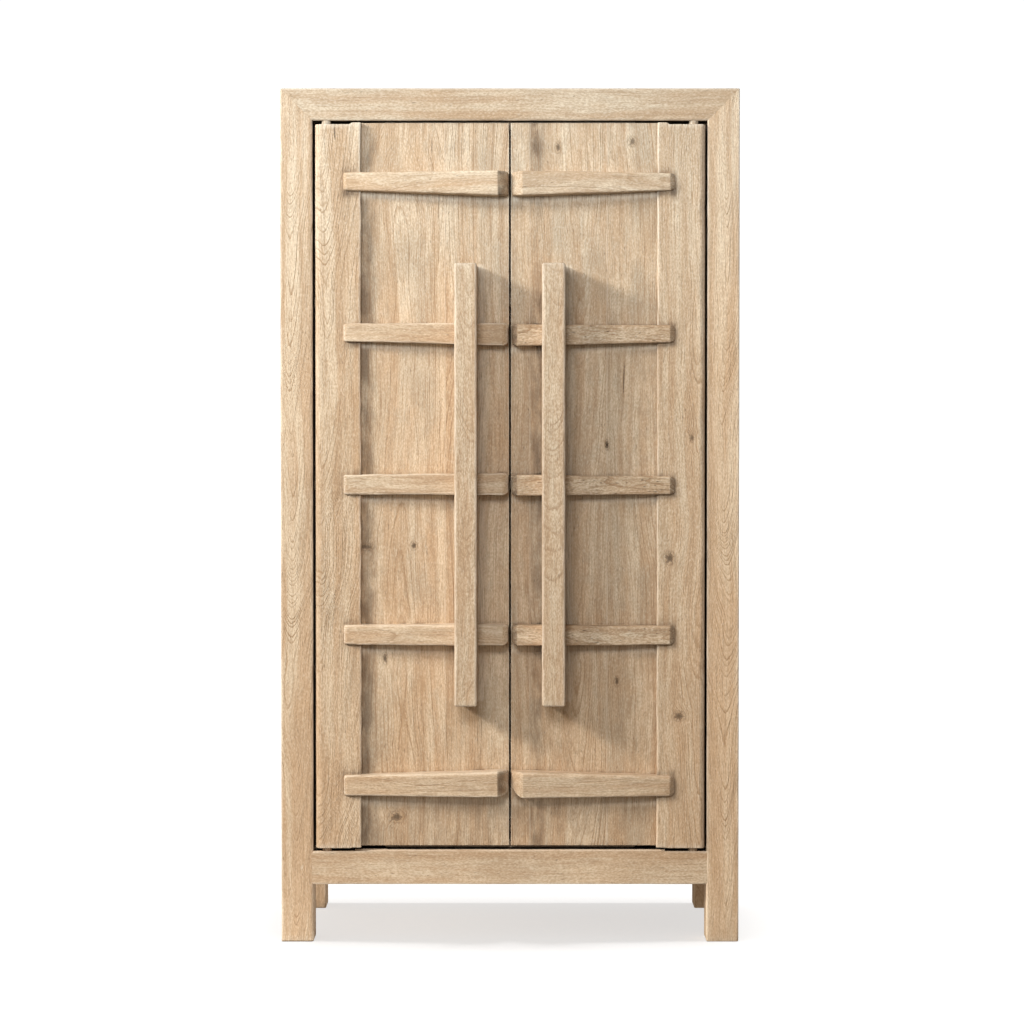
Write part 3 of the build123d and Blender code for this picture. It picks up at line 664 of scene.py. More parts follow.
class CABINET_OT_posts(bpy.types.Operator):
    """Corner posts with mitred tops and worn feet"""
    bl_idname = "cabinet.posts"
    bl_label = "Posts"

    def execute(self, context):
        shape = context.scene.cabinet_shape
        edge = shape.frame_round
        finishes = {side: elm(f"planed_old_elm_{name}_posts", ring=0.8, late=0.95, fibre=0.25,
                              dash=0.3, patch=0.15, rust=0.2, relief=0.8, curl=0.5,
                              speckle=0.33, bright=0.98 if side < 0 else 1.12) for name, side in SIDES}

        # Painted shade on the faces beside the door opening behind the front, near-black deeper in.
        def grime(point):
            beside = abs(point.x) < POST_INNER + 2 * MM and point.z > RAIL_TOP
            deep = min(point.y - FRAME_FRONT, FRAME_BACK - point.y) / MM
            return shaded(deep, 4.5 if point.x > 0 else 2.5) if beside else 0.0

        # Painted highlight on the front edge beside the opening; only the right front post takes it.
        def wear(point):
            return float(abs(point.x) < POST_INNER + 2 * MM and point.y < FRAME_FRONT + 4 * MM)

        for n, (end, back) in enumerate((("front", False), ("back", True))):
            for name, side in SIDES:
                def climb(z, seed=n + 2 * side):
                    return -0.13 * z + 0.012 * wander(z * 5, seed * 3.7, 0)

                rounds = [edge] * 4
                if side < 0 and not back:
                    rounds[1] = shape.opening_round
                node = f"{end}_{name}_post"
                board = carcass_board(
                    spans_of(node, z=(0, TOP)), 2, 11 + n * 2 + side, edge, end=3 * MM, climb=climb,
                    rounds=rounds, pith=[-0.009 if side < 0 else 0.004, 0.025 if back else -0.025],
                    grime=None if back else grime, wear=wear if side > 0 and not back else None)
                piece(node, [board], finishes[side], mitre_planes(2, side, back))
        return {"FINISHED"}


class CABINET_OT_rails(bpy.types.Operator):
    """Mitred top rails and pointed bottom rails"""
    bl_idname = "cabinet.rails"
    bl_label = "Rails"

    def execute(self, context):
        edge = context.scene.cabinet_shape.frame_round
        soft = context.scene.cabinet_shape.opening_round
        finish = elm("planed_old_elm_rails", fibre=0.25, patch=0.25, curl=0.4, speckle=0.4,
                     bright=0.885)

        # Painted shade, near-black deeper in, on the top rail's underside behind the front.
        def grime(point):
            deep = (point.y - FRAME_FRONT) / MM
            return shaded(deep, 2.5) if point.z < TOP_RAIL_BOTTOM + MM else 0.0

        for end, back in (("front", False), ("back", True)):
            node = f"top_{end}_rail"
            spans = spans_of(node, x=(-HALF_WIDTH, HALF_WIDTH))
            board = carcass_board(spans, 0, 21 + back, edge, pith=[0.03, 0.14], climb=-0.01,
                                  rounds=(edge if back else soft, edge, edge, edge),
                                  grime=None if back else grime)
            planes = mitre_planes(0, LEFT, back) + mitre_planes(0, RIGHT, back)
            piece(node, [board], finish, planes)
            self.bottom_cross(end, back, edge, finish)
        for n, (name, side) in enumerate(SIDES):
            node = f"top_{name}_rail"
            board = carcass_board(spans_of(node, y=(FRAME_FRONT, FRAME_BACK)), 1, 25 + n, edge)
            planes = mitre_planes(1, side, False) + mitre_planes(1, side, True)
            piece(node, [board], finish, planes)
            self.bottom_side(name, side, edge, finish)
        return {"FINISHED"}

    def bottom_cross(self, end, back, edge, finish):
        """Front or back bottom rail, its top edge relieved under the hinge stiles.

        The left relief runs on into a shallow slope along the front edge only, so a front
        rail is made of a thin front slab and of the wood behind it.
        """
        node = f"bottom_{end}_rail"
        relief = 0 if back else RELIEF_DEEP
        tip_height = (RAIL_BOTTOM + RAIL_TOP - relief) / 2
        spans = spans_of(node, x=(-POST_INNER - POINT_REACH, POST_INNER + POINT_REACH))
        front, rear = spans[1]

        def behind(x):
            drop = relief if abs(x) > RELIEF_STEP else 0.0
            return front + (0 if back else SLOPE_DEEP), rear, RAIL_BOTTOM, RAIL_TOP - drop

        def before(x):
            share = clamp((-x - SLOPE_END) / (RELIEF_STEP + 3 * MM - SLOPE_END))
            drop = relief * (1 if x > RELIEF_STEP else share)
            return front, front + SLOPE_DEEP + MM, RAIL_BOTTOM, RAIL_TOP - drop

        # Painted shade, near-black deeper in, on the top faces behind the front, and a painted shadow on
        # the faces just behind the left relief's sloped front.
        def grime(point):
            deep, wedge = (point.y - FRAME_FRONT) / MM, point.x < -SLOPE_END
            dark = max(shaded(deep, 11 if wedge else 4), 0.7 * (wedge and 8 < deep < 11))
            return dark if point.z > RAIL_TOP - 6 * MM else 0.0

        stops = [side * (RELIEF_STEP + gap * MM) for side in (LEFT, RIGHT) for gap in (-0.1, 0.1)]
        stops += [-RELIEF_STEP - 3 * MM, -SLOPE_END]
        boards = [carcass_board(spans, 0, 31 + back, edge, limits=limits, pith=[0.04, -0.13],
                                stops=stops, climb=-0.03, rounds=(edge, 0.5 * MM, 0.5 * MM, edge),
                                grime=None if back else grime)
                  for limits in ((behind,) if back else (behind, before))]
        half = tip_height - RAIL_BOTTOM
        planes = (point_planes(-POST_INNER, LEFT, tip_height, half, 0)
                  + point_planes(POST_INNER, RIGHT, tip_height, half, 0))
        piece(node, boards, finish, planes)

    def bottom_side(self, name, side, edge, finish):
        """Left or right bottom rail."""
        node = f"bottom_{name}_rail"
        front, back = FRAME_FRONT + POST, FRAME_BACK - POST
        spans = spans_of(node, y=(front - POINT_REACH, back + POINT_REACH))
        middle = (RAIL_BOTTOM + RAIL_TOP) / 2
        planes = (point_planes(front, -1, middle, middle - RAIL_BOTTOM, 1)
                  + point_planes(back, 1, middle, middle - RAIL_BOTTOM, 1))
        piece(node, [carcass_board(spans, 1, 35 + side, edge)], finish, planes)


class CABINET_OT_panels(bpy.types.Operator):
    """Side, back and top panels of jointed boards"""
    bl_idname = "cabinet.panels"
    bl_label = "Panels"

    def execute(self, context):
        edge = 1.6 * MM
        finish = elm("planed_old_elm_panels", ring=1.1, dash=0.35, rust=0.35, relief=0.35)

        def panel(node, axis, shares, seed, along=2):
            """Panel of boards side by side, each a share of its breadth."""
            low, high = spans_of(node)[axis]
            limits = [low + (high - low) * share for share in (0, *shares, 1)]
            made = []
            for n, span in enumerate(zip(limits, limits[1:])):
                spans = spans_of(node)
                spans[axis] = span
                made.append(Board(spans, along, seed + n, edge, cuts=30))
            piece(node, made, finish, kind="boards")

        for n, (name, side) in enumerate(SIDES):
            panel(f"{name}_side_panel", 1, (0.37, 0.67), 41 + 4 * n)
            panel(f"back_{name}_panel", 0, (0.33, 0.66), 51 + 4 * n)
        panel("top_panel", 1, (0.31, 0.66), 61, along=0)
        board = Board(spans_of("back_mid_stile", z=(RAIL_TOP, TOP_RAIL_BOTTOM)), 2, 65, edge)
        piece("back_mid_stile", [board], finish)
        return {"FINISHED"}


class CABINET_OT_inside(bpy.types.Operator):
    """Floor, shelves, their bearers and the door stops"""
    bl_idname = "cabinet.inside"
    bl_label = "Inside"

    def execute(self, context):
        finish = elm("planed_elm_inside", ring=1.2, late=0.4, fibre=0.35, dash=0.25, patch=0.25,
                     rust=0.2, relief=0.3, bright=0.97)
        edge = 1.5 * MM

        def pair(span):
            """Where two bearers lie at the ends of a span."""
            return (span[0], span[0] + BEARER), (span[1] - BEARER, span[1])

        for n, node in enumerate(("floor_board", "lower_shelf", "middle_shelf", "upper_shelf")):
            board = Board(spans_of(node), 0, 71 + n, edge, wave=0.3, cuts=(60, 30, 60, 30))
            piece(node, [board], finish, step=40 * MM)
        for n, name in enumerate(("lower", "middle", "upper")):
            x, y, z = spans_of(f"{name}_shelf_bearers")
            made = [Board([span, y, z], 1, 80 + 2 * (n + k), edge, wave=0.2)
                    for k, span in enumerate(pair(x))]
            piece(f"{name}_shelf_bearers", made, finish)
        x, y, z = spans_of("floor_bearers")
        made = [Board([x, span, z], 0, 91 + n, edge, wave=0.2) for n, span in enumerate(pair(y))]
        piece("floor_bearers", made, finish)
        for n, node in enumerate(("top_door_stop", "bottom_door_stop")):
            piece(node, [Board(spans_of(node), 0, 95 + n, edge, wave=0.2)], finish)
        return {"FINISHED"}


# ---- doors -----------------------------------------------------------------------------------
class CABINET_OT_planks(bpy.types.Operator):
    """Face planks of the doors, with dirt, painted shade and painted light along the battens and the
    stile
    """
    bl_idname = "cabinet.planks"
    bl_label = "Planks"

    def execute(self, context):
        edge = context.scene.cabinet_shape.plank_round
        bars = {side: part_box(f"{name}_door_handle") for name, side in SIDES}

        def grime(point):
            x, z = abs(point.x) / MM, point.z / MM
            side = RIGHT if point.x > 0 else LEFT
            inner = (STILE_INNER[side] - STILE_LIP) / MM
            # Painted shadow of the left stile and a line of dirt and painted shade along each stile;
            # dirt and painted shade under the top rail; dirt towards the bottom; dirt and painted shade
            # by the seam.
            near = [contact(inner - x, *STILE_SHADOW_AND_STAIN[side]),
                    0.3 * math.exp(-(PLANK_TOP / MM - z) / 7),
                    0.35 * math.exp(-max(0, z - PLANK_BOTTOM / MM - 60) / 60),
                    0.3 * math.exp(-x / 8)]
            for row in ROWS:
                low, high = batten_edges(side, row, x)
                # Dark lines of dirt and painted shade under and above each batten.
                if z < low:
                    near.append(contact(low - z, 0.05, 12, 0.4))
                if z > high and row < 5:
                    near.append(contact(z - high, 0.18, 12, 0.8))
            lowest, highest = bars[side]
            beside = max(lowest.x / MM - x * side, x * side - highest.x / MM)
            beyond = max(0, lowest.z / MM - z, z - highest.z / MM)
            # Dirt and painted shade round the handle.
            near.append(contact(math.hypot(max(0, beside), beyond), 0.12, 12, 0.1))
            near.sort()
            dirt = min(0.97, near[-1] + 0.6 * near[-2])
            if 0 < point.x < lowest.x:
                stripe = hump(x, 65 + 6 * wander(0, z / 90, 4), 19)
                dirt += 1.1 * stripe * clamp(0.7 + 1.4 * wander(z / 260, 2, 9), 0.2)
            # Dirt and painted shade on the planks' faces inside the seam and at their ends, behind the
            # front.
            end = z > PLANK_TOP / MM - 1 or z < PLANK_BOTTOM / MM + 1
            gap_dirt_and_shade = 0.95 if x < 3 or end else 0.0
            return gap_dirt_and_shade if point.y - PLANK_FRONT > 1.5 * MM else dirt

        def wear(point):
            """Painted light: paler wood just under the battens and right of each handle, in its shadow.
            """
            x, z = abs(point.x) / MM, point.z / MM
            side = RIGHT if point.x > 0 else LEFT
            pale = 0.0
            for row, peak in zip(ROWS, PAINTED_LIGHT_UNDER):
                gap = batten_edges(side, row, x)[0] - z
                pale = max(pale, hump(gap, peak, 8) * (gap > 0))
            lowest, highest = bars[side]
            if lowest.z / MM < z < highest.z / MM and point.x > highest.x:
                pale = max(pale, hump((point.x - highest.x) / MM, 5, 12))
            return pale * (point.y < PLANK_FRONT + 2 * MM)

        stops = []
        for shape in (*BATTEN_ROWS[LEFT], *BATTEN_ROWS[RIGHT]):
            for ends in (shape[0], shape[2]), (shape[1], shape[3]):
                first = min(ends) - 9
                stops += [(first + 3 * n) * MM for n in range(int(max(ends) + 12 - first) // 3)]

        made = {}
        for name, side in SIDES:
            for n, (across, depth, climb) in enumerate(PLANK_LOGS[side], start=1):
                node = f"{name}_door_plank_{n}"
                spans = spans_of(node)
                inner, outer = spans[0][::side]
                inner += side * SEAM_SHRINK * (abs(inner) < 5 * MM)
                spans[0] = tuple(sorted((inner, outer - side * PLANK_TONGUE)))
                made[node] = Board(spans, 2, 101 + 10 * (side + 1) + n, edge, cuts=(9, 30, 40, 30),
                                   end=1.2 * MM, pith=[across * MM, depth * MM], climb=climb,
                                   stops=stops, grime=grime, wear=wear)
        finish = elm("weathered_elm_planks", ring=1.3, late=0.7, fibre=0.32, patch=0.55,
                     streak=0.45, relief=0.65, curl=0.4, speckle=0.36, bright=0.98,
                     marks=old_marks(made.values(), PLANK_MARKS))
        for node, board in made.items():
            piece(node, [board], finish, step=9 * MM)
        return {"FINISHED"}


# Hidden tongue that a plank leaves out, and the shrinkage of the seam between the doors.
PLANK_TONGUE, SEAM_SHRINK = 4 * MM, 0.2 * MM
PAINTED_LIGHT_UNDER = (17, 13, 9, 7, 7)    # millimetres below each batten where the painted light on the planks is strongest

# How far each stile's worn inner edge stands in over the planks, how much its outer edge has
# shrunk, and the darkening along it: a painted shadow of the stile beside the left one, and a
# line of dirt and painted shade along both.
STILE_LIP = 3.2 * MM
STILE_SHRINK = {LEFT: 2.2 * MM, RIGHT: 1.2 * MM}
STILE_SHADOW_AND_STAIN = {LEFT: (0.75, 8, 0.3, 27), RIGHT: (0.35, 5, 0.35, 3)}


def plank_climb(z):
    """Climb of the rings in the outer left plank: steep above the top batten."""
    return 0.04 * z + 0.20 * max(0, z - 1.76) + 0.004 * wander(z * 6, 2.2, 0)


def stile_climb(z):
    """Climb of the rings in the left stile."""
    return -0.15 * z + 0.014 * wander(z * 7, -3.1, 5.5)




# Where each plank lay in its log: the pith across from the plank's middle and behind it,
# millimetres, and the climb of its rings.
PLANK_LOGS = {
    LEFT: ((2, 22, plank_climb), (-130, 40, -0.02)),
    RIGHT: ((100, 50, -0.03), (20, 35, -0.05), (-70, 40, 0.03)),
}

# Knots and cracks of the planks: across and height on the door, half length, half width,
# darkness and swirl of the rings, lengths in millimetres.
PLANK_MARKS = (
    (-230, 950, 6, 5, 0.75, 3.0),
    (-346, 947, 5, 13, 0.6, 2.5),
    (-299, 680, 8, 4, 0.75, 2.5),
    (-271, 299, 8, 12, 0.7, 3.0),
    (232, 1191, 7, 3, 0.95, 2.0),
    (115, 1900, 8, 4, 0.7, 2.5),
    (292, 1914, 7, 6, 0.65, 2.5),
    (256, 624, 7, 4, 0.7, 2.5),
    (-191, 1904, 26, 1.6, 0.6, 0.0),
    (275, 1345, 42, 1.6, 0.7, 0.0),
    (-175, 1780, 60, 1.4, 0.5, 0.0),
)
STILE_MARKS = (
    (381, 921, 9, 8, 0.75, 2.5),
    (404, 543, 7, 9, 0.7, 2.5),
    (434, 1208, 6, 4, 0.6, 2.0),
    (-415, 1935, 24, 1.5, 0.9, 0.0),
)


class CABINET_OT_stiles(bpy.types.Operator):
    """Hinge stiles of the doors, with rounded outer edges"""
    bl_idname = "cabinet.stiles"
    bl_label = "Stiles"

    def execute(self, context):
        shape = context.scene.cabinet_shape
        made = {}
        for name, side in SIDES:
            node = f"{name}_door_stile"
            spans = spans_of(node)
            laps = [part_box(f"{name}_door_batten_{row}") for row in ROWS]

            # Painted near-black shade on the outer side faces in the gap; round the battens' ends, dirt
            # and painted shade.
            def grime(point, laps=laps):
                if point.y > FRAME_FRONT + MM:
                    return 1.4 if abs(point.x) > STILE_INNER[LEFT] + STILE_SIDE else 0.0
                gap = min(math.hypot(max(0, abs(point.x) - max(abs(low.x), abs(high.x))),
                                     max(0, low.z - point.z, point.z - high.z)) for low, high in laps)
                return contact(gap / MM, 0.5, 12, 0.7)

            def limits(z, side=side, spans=spans):
                sway = 1.3 * wander(z * 8, side * 2.7, 1.5) + 0.9 * wander(z * 31, side * 4.1, 3.5)
                inner, outer = spans[0][::side]
                inner += side * ((sway + 0.4) * MM - STILE_LIP)
                return *sorted((inner, outer - side * STILE_SHRINK[side])), *spans[1]

            rounds = [shape.stile_round] * 4
            rounds[0 if side < 0 else 1] = shape.stile_outer
            made[node] = Board(spans, 2, 131 + side, shape.stile_round, wave=0.8, cuts=(9, 20, 40, 20),
                               end=2.5 * MM, rounds=rounds, limits=limits, grime=grime,
                               pith=[-35 * MM, -9 * MM] if side < 0 else [50 * MM, 20 * MM],
                               climb=stile_climb if side < 0 else -0.02)
        finish = elm("weathered_elm_stiles", late=0.85, fibre=0.35, dash=0.35, patch=0.25,
                     rust=0.25, grime=0.6, relief=0.8, curl=0.5, speckle=0.4,
                     marks=old_marks(made.values(), STILE_MARKS))
        for (node, board), side in zip(made.items(), (LEFT, RIGHT)):
            timber = piece(node, [board], finish, step=10 * MM)
            # Past 20 mm from the planks a stile is cut 4 mm lower on top; nearer to them it
            # ends 1.5 mm higher below.
            for vert in timber.data.vertices:
                outer = clamp((abs(vert.co.x) - STILE_INNER[side] - 20 * MM) / (4 * MM))
                if vert.co.z > PLANK_TOP - 30 * MM:
                    vert.co.z -= 4.0 * MM * outer
                if vert.co.z < PLANK_BOTTOM + 30 * MM:
                    vert.co.z += 1.5 * MM * (1 - outer)
        return {"FINISHED"}


class CABINET_OT_battens(bpy.types.Operator):
    """Bowed battens with slanted meeting ends"""
    bl_idname = "cabinet.battens"
    bl_label = "Battens"

    def execute(self, context):
        for name, side in SIDES:
            for row in ROWS:
                self.batten(name, side, row, context.scene.cabinet_shape.batten_round)
        return {"FINISHED"}

    def batten(self, name, side, row, edge):
        """One batten, in a finish of its own."""
        shape = BATTEN_ROWS[side][row - 1]
        near, far, bevel = BATTEN_ENDS[0], BATTEN_ENDS[1][side], shape[4]
        rough = side > 0 and 1 < row < 5
        finish = elm(f"weathered_elm_{name}_batten_{row}", ring=0.9, rust=0.25, curl=0.3,
                     bright=BATTEN_TONES[row - 1] + 0.025 * rough,
                     **(ROUGH_BATTEN if rough else SOUND_BATTEN))

        # Dirt and painted shade on the slanted meeting ends, painted shade on the right battens' far
        # ends, which face away from the light, and painted shade along the lower edge.
        def grime(point):
            reach = abs(point.x) / MM
            slant = BEVEL_DIRT_AND_SHADE.get((side, row), 0.0) * clamp((near + bevel - reach) / 3)
            tip = 0.55 * clamp((reach - far + FAR_BEVEL[side][0]) / 3) * (side > 0)
            low = batten_edges(side, row, reach)[0]
            return contact(point.z / MM - low, 0.1, 6, 0.4) + max(slant, tip)

        # Painted highlight on the top face.
        def wear(point):
            high = batten_edges(side, row, abs(point.x) / MM)[1]
            return PAINTED_TOP_HIGHLIGHT.get((side, row), 0.0) * (point.z / MM > high - 2.5)

        stops = [near + bevel + gap for gap in (-2, -1, 0, 1, 2, 3)]
        stops += [near + bevel - gap for gap in range(4, int(bevel) - 2, 2)]
        stops += [far - FAR_BEVEL[side][0] + gap for gap in (-1.5, 0, 1.5, 4, 6)]
        spans = [tuple(sorted((side * near * MM, side * far * MM))),
                 (PLANK_FRONT - BOW[0] * MM, PLANK_FRONT + MM), (shape[0] * MM, shape[1] * MM)]
        top_round = {1: 8 * MM, 2: 7 * MM}.get(row, edge * 1.3)
        board = Board(spans, 0, 151 + 10 * (side + 1) + row, edge, wave=0.6, cuts=14,
                      limits=lambda x: batten_limits(x, side, row, shape), end=2.5 * MM,
                      stops=[side * v * MM for v in stops],
                      rounds=(edge, 0.5 * MM, 0.5 * MM, top_round),
                      pith=[40 * MM, (9 * row - 25) * MM], climb=0.03 * side,
                      grime=grime, wear=wear, edge_wear_and_highlight=EDGE_WEAR_AND_HIGHLIGHT.get((side, row), 1.0))
        piece(f"{name}_door_batten_{row}", [board], finish, step=9 * MM)


# Each batten's lower and upper edge at the stile end and at the meeting end; how far along
# and into the batten its meeting end slants; how far that end's lower corner is lifted.
BATTEN_ROWS = {
    LEFT: ((353.9, 402.5, 352.9, 415.0, 26, 26, 9),
           (715.5, 763.0, 714.0, 765.0, 14, 13, 9),
           (1073.0, 1121.5, 1071.5, 1124.5, 14, 13, 6),
           (1436.6, 1480.0, 1426.5, 1481.0, 14, 13, 8),
           (1796.2, 1839.6, 1781.6, 1842.0, 25, 26, 4)),
    RIGHT: ((351.9, 400.0, 350.9, 414.0, 26, 26, 24),
            (714.5, 760.0, 713.0, 762.5, 14, 13, 9),
            (1072.5, 1116.3, 1071.0, 1120.6, 14, 13, 6),
            (1435.0, 1476.0, 1425.0, 1478.0, 14, 13, 8),
            (1796.2, 1838.6, 1781.6, 1841.0, 25, 26, 4)),
}
BATTEN_ENDS = (4.6, {LEFT: 396.5, RIGHT: 393.0})
FAR_BEVEL = {LEFT: (7.5, 4), RIGHT: (12, 8)}
BOW = (49.5, 25, 3.5)    # how far a batten stands out at its meeting end, its far end, between

# Look of the battens: brightness per row, darker towards the bottom; dirt and painted shade on
# the meeting bevels; painted highlights on the top faces; and how much the edges are rubbed
# pale and painted as highlights.
BATTEN_TONES = (0.865, 0.93, 0.94, 0.96, 0.99)
BEVEL_DIRT_AND_SHADE = {(LEFT, 1): 0.9, (LEFT, 5): 1.0, (RIGHT, 2): 1.1, (RIGHT, 3): 1.1, (RIGHT, 4): 1.1}
PAINTED_TOP_HIGHLIGHT = {(LEFT, 1): 1.0, (RIGHT, 1): 0.4, (LEFT, 2): 0.9, (LEFT, 3): 0.4}
EDGE_WEAR_AND_HIGHLIGHT = {(LEFT, 5): 0.0, (RIGHT, 1): 0.4, (RIGHT, 2): 0.1, (RIGHT, 3): 0.1, (RIGHT, 4): 0.1,
            (RIGHT, 5): 0.0}
SOUND_BATTEN = {"late": 0.6, "dash": 0.35, "patch": 0.25, "relief": 0.75, "speckle": 0.36}
ROUGH_BATTEN = {"late": 0.85, "fibre": 0.6, "dash": 0.7, "relief": 1.1, "speckle": 0.5}


def batten_edges(side, row, reach):
    """Worn lower and upper edge of a batten at a distance from the middle of the cabinet."""
    shape = BATTEN_ROWS[side][row - 1]
    near, far = BATTEN_ENDS[0], BATTEN_ENDS[1][side]
    share = (reach - near) / (far - near)
    sway = 1.4 * wander(side * reach * 0.007, row * 3.3, side)
    nick = 1.2 * wander(side * reach * 0.026, row * 5.1, side + 7)
    return (shape[2] + (shape[0] - shape[2]) * share + 0.4 + sway - 0.5 * nick,
            shape[3] + (shape[1] - shape[3]) * share - 0.6 + sway + nick)


def batten_limits(x, side, row, shape):
    """Front, back, lower and upper limit of a batten at a place along it."""
    bevel_along, bevel_in, lift = shape[4:]
    reach = abs(x) / MM
    low, high = batten_edges(side, row, reach)
    far_along, far_in = FAR_BEVEL[side]
    start, finish = BATTEN_ENDS[0] + bevel_along, BATTEN_ENDS[1][side] - far_along
    arc = clamp((reach - start) / (finish - start))
    rise = BOW[0] + (BOW[1] - BOW[0]) * arc + BOW[2] * 4 * arc * (1 - arc)
    slant = max(0, (start - reach) / bevel_along)
    tip = max(0, reach - finish) / far_along
    rise -= bevel_in * (0.6 * slant + 0.4 * slant ** 2) + far_in * tip
    low += lift * slant ** 2 + far_in * 0.6 * tip ** 2
    high -= 2.5 * slant ** 3 + far_in * 0.5 * tip ** 2
    return PLANK_FRONT - rise * MM, PLANK_FRONT + 1 * MM, low * MM, high * MM


class CABINET_OT_handles(bpy.types.Operator):
    """Deep bar handles and the screws that hold them"""
    bl_idname = "cabinet.handles"
    bl_label = "Handles"

    def execute(self, context):
        edge = context.scene.cabinet_shape.handle_round
        finish = elm("hand_worn_elm_handles", ring=0.9, fibre=0.42, dash=0.3, patch=0.2,
                     relief=0.6, rough=0.7, curl=0.5, speckle=0.45, bright=0.91)
        steel = plated_steel()
        for name, side in SIDES:
            node = f"{name}_door_handle"
            board = Board(spans_of(node), 2, 181 + side, edge, cuts=(14, 25, 50, 25), ding=0.5,
                          pith=[6 * MM, 80 * MM], climb=-0.1)
            piece(node, [board], finish, step=12 * MM)
            screws = frame["nodes"][f"{name}_door_handle_screws"]
            screws.data.materials.clear()
            screws.data.materials.append(steel)
        return {"FINISHED"}


class CABINET_OT_pivots(bpy.types.Operator):
    """Turned pivot pins"""
    bl_idname = "cabinet.pivots"
    bl_label = "Pivots"

    def execute(self, context):
        finish = elm("bare_hardwood_pins", ring=0.5, fibre=0.5, dash=0.3, patch=0.2, rust=0.6,
                     relief=0.3, bright=0.75)
        for name, side in SIDES:
            for n, end in enumerate(("top", "bottom")):
                node = f"{name}_door_{end}_pivot"
                board = Board(spans_of(node), 2, 191 + 2 * side + n, PIN_RADIUS, arc=7, wave=0.0,
                              end=1.5 * MM, ding=0)
                board.radius = lambda s, corner: PIN_RADIUS
                piece(node, [board], finish, kind="pin")
        return {"FINISHED"}


# ---- studio ----------------------------------------------------------------------------------
# The camera's place from the middle of the front, its tilt in degrees and the lens's shift.
CAMERA_SIDE, CAMERA_AWAY, CAMERA_HEIGHT, CAMERA_TILT, SHIFT = 0.0048, 6.2775, 1.2777, 1.25, -0.045


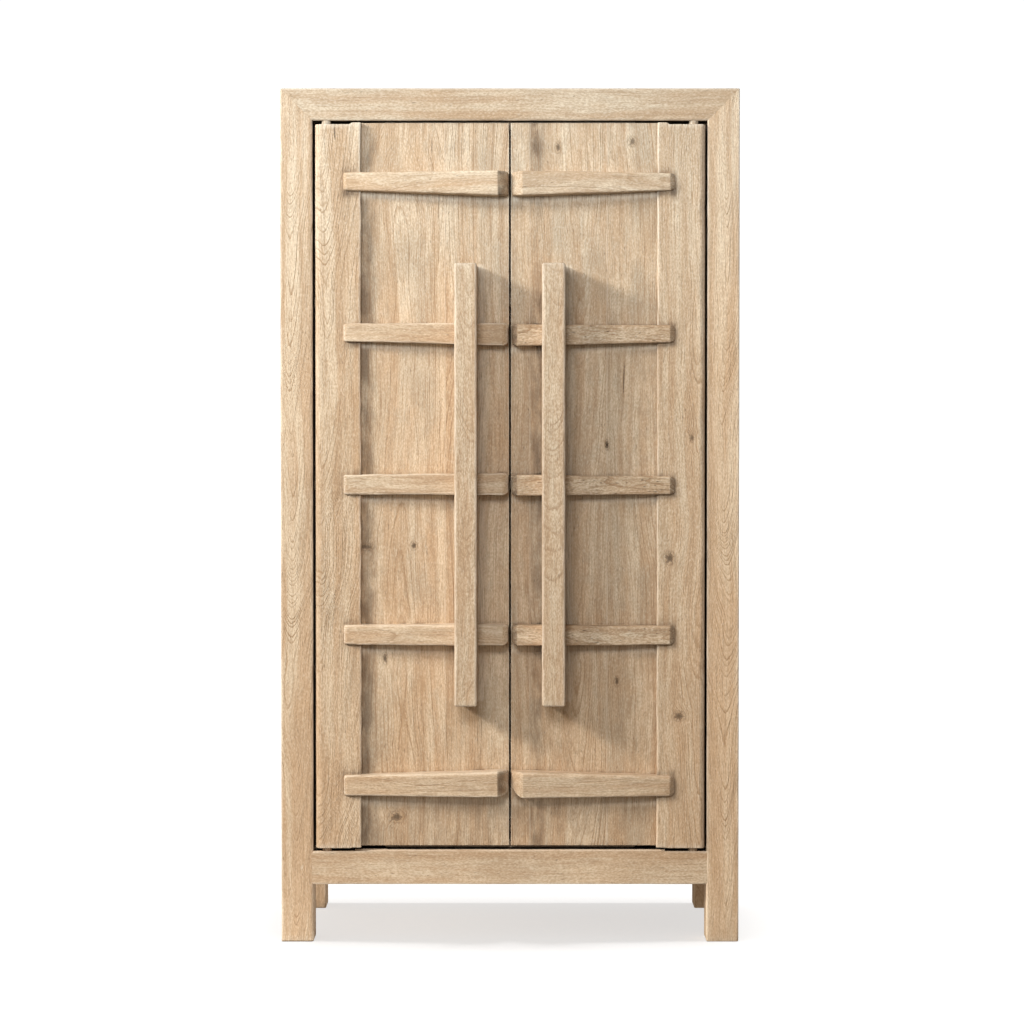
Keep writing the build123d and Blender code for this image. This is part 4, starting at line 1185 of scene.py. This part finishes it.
class CABINET_OT_stage(bpy.types.Operator):
    """White floor and studio, its soft lights and the camera"""
    bl_idname = "cabinet.stage"
    bl_label = "Stage"

    def execute(self, context):
        stage = context.scene.cabinet_stage
        self.surround(context.scene, stage)
        floor = self.floor(stage.glow)
        # The softboxes light everything but the floor, and the lamp above lights only the floor.
        apart = bpy.data.collections.new("lit_by_softboxes")
        apart.objects.link(floor)
        apart.collection_objects[0].light_linking.link_state = "EXCLUDE"
        alone = bpy.data.collections.new("lit_from_above")
        alone.objects.link(floor)
        front = FRAME_FRONT
        self.softbox("key_softbox", stage.key_power, (2.4, 0.8), (-5.2, front - 2.8, 3.9),
                     (0, front, 1.1), stage.key_tint, apart)
        self.softbox("front_softbox", stage.fill_power, (1.2, 0.8), (-0.6, front - 3.1, 2.3),
                     (0, front, 1.4), stage.fill_tint, apart)
        self.softbox("back_softbox", stage.back_power, (2.0, 1.2), (2.7, FRAME_BACK + 3.2, 3.4),
                     (0, FRAME_BACK, 1.2), stage.key_tint, apart)
        for name, share, extent, x, y in (("front", 1.0, (1.1, 0.25), -0.2, front - 0.1),
                                          ("under", 0.55, (0.65, 0.3), -0.42, front + 0.25)):
            bounce = self.softbox(f"{name}_bounce", share * stage.bounce_power, extent,
                                  (x, y, 0.004), (x, y, 1.0), stage.bounce_tint, apart)
            bounce.visible_camera = False
        lamp = bpy.data.lights.new("floor_light", "SUN")
        lamp.energy = stage.floor_power
        lamp.angle = math.radians(12)
        above = linked("floor_light", lamp)
        above.light_linking.receiver_collection = alone

        lens = bpy.data.cameras.new("camera")
        lens.lens = stage.lens
        lens.sensor_width = 36
        lens.shift_y = SHIFT
        camera = linked("camera", lens)
        camera.location = (CAMERA_SIDE, front - CAMERA_AWAY, CAMERA_HEIGHT)
        camera.rotation_euler = (math.radians(90 - CAMERA_TILT), 0, 0)
        context.scene.camera = camera
        context.scene.view_settings.view_transform = "Standard"
        return {"FINISHED"}

    def surround(self, scene, stage):
        """Studio that lights unevenly and is seen as plain white."""
        world = bpy.data.worlds.new("white_studio")
        scene.world = world
        world.use_nodes = True
        tree = world.node_tree
        tree.nodes.clear()
        across, _, up = add(tree, "SeparateXYZ", (add(tree, "TexCoord"),), out=None).outputs
        light = (*stage.ambient_right, 1)
        for share, other in ((add(tree, "MapRange", (across, -1.0, 1.0)), stage.ambient_left),
                             (add(tree, "MapRange", (up, -0.15, 0.15)), stage.ambient_low)):
            light = add(tree, "Mix", {0: share, 6: (*other, 1), 7: light}, **COLOURS)
        seen = add(tree, "LightPath", out="Is Camera Ray")
        light = add(tree, "Mix", {0: seen, 6: light, 7: (1.05, 1.05, 1.05, 1)}, **COLOURS)
        light = add(tree, "Background", {"Color": light, "Strength": 1.0})
        add(tree, "OutputWorld", {"Surface": light}, out=None)

    def floor(self, glow):
        """White floor that the softboxes leave alone."""
        mesh = bpy.data.meshes.new("studio_floor")
        far = 60.0
        mesh.from_pydata([(-far, -far, 0), (far, -far, 0), (far, far, 0), (-far, far, 0)], [],
                         [(0, 1, 2, 3)])
        floor = linked("studio_floor", mesh)
        floor.visible_diffuse = False
        floor.visible_glossy = False
        material, tree, shader = fresh("matt_white_studio_floor")
        for socket, value in (("Base Color", (0.5, 0.5, 0.5, 1)), ("Roughness", 1.0),
                              ("Specular IOR Level", 0.0), ("Emission Color", (1, 1, 1, 1)),
                              ("Emission Strength", glow)):
            shader.inputs[socket].default_value = value
        mesh.materials.append(material)
        return floor

    def softbox(self, name, watts, extent, place, aim, tint, receivers):
        """Rectangular soft light that looks at a point."""
        lamp = bpy.data.lights.new(name, "AREA")
        lamp.shape = "RECTANGLE"
        lamp.size, lamp.size_y = extent
        lamp.energy = watts
        lamp.color = tint
        made = linked(name, lamp)
        made.location = place
        made.rotation_euler = (Vector(aim) - made.location).to_track_quat("-Z", "Y").to_euler()
        made.light_linking.receiver_collection = receivers
        return made


class CABINET_PT_sidebar(bpy.types.Panel):
    """Lists the pieces"""
    bl_idname = "CABINET_PT_sidebar"
    bl_label = "Book cabinet"
    bl_space_type = "VIEW_3D"
    bl_region_type = "UI"
    bl_category = "Cabinet"

    def draw(self, context):
        for made in OPERATORS:
            self.layout.operator(made.bl_idname)
        for group in (context.scene.cabinet_wood, context.scene.cabinet_shape,
                      context.scene.cabinet_stage):
            box = self.layout.box()
            for key in group.bl_rna.properties.keys():
                if key not in ("name", "rna_type"):
                    box.prop(group, key)


GROUPS = {"cabinet_wood": CABINET_PG_wood, "cabinet_shape": CABINET_PG_shape,
          "cabinet_stage": CABINET_PG_stage}
OPERATORS = (CABINET_OT_stage, CABINET_OT_posts, CABINET_OT_rails, CABINET_OT_panels,
             CABINET_OT_inside, CABINET_OT_planks, CABINET_OT_stiles, CABINET_OT_battens,
             CABINET_OT_handles, CABINET_OT_pivots)


def register():
    """Make the settings, the operators and the panel known to Blender."""
    for made in (*GROUPS.values(), *OPERATORS, CABINET_PT_sidebar):
        bpy.utils.register_class(made)
    for name, group in GROUPS.items():
        setattr(bpy.types.Scene, name, PointerProperty(type=group))


def unregister():
    """Take them away again."""
    for name in GROUPS:
        delattr(bpy.types.Scene, name)
    for made in reversed((*GROUPS.values(), *OPERATORS, CABINET_PT_sidebar)):
        bpy.utils.unregister_class(made)


def main():
    """Dress the whole cabinet."""
    register()
    for made in OPERATORS:
        group, name = made.bl_idname.split(".")
        getattr(getattr(bpy.ops, group), name)()


if __name__ == "__main__":
    main()
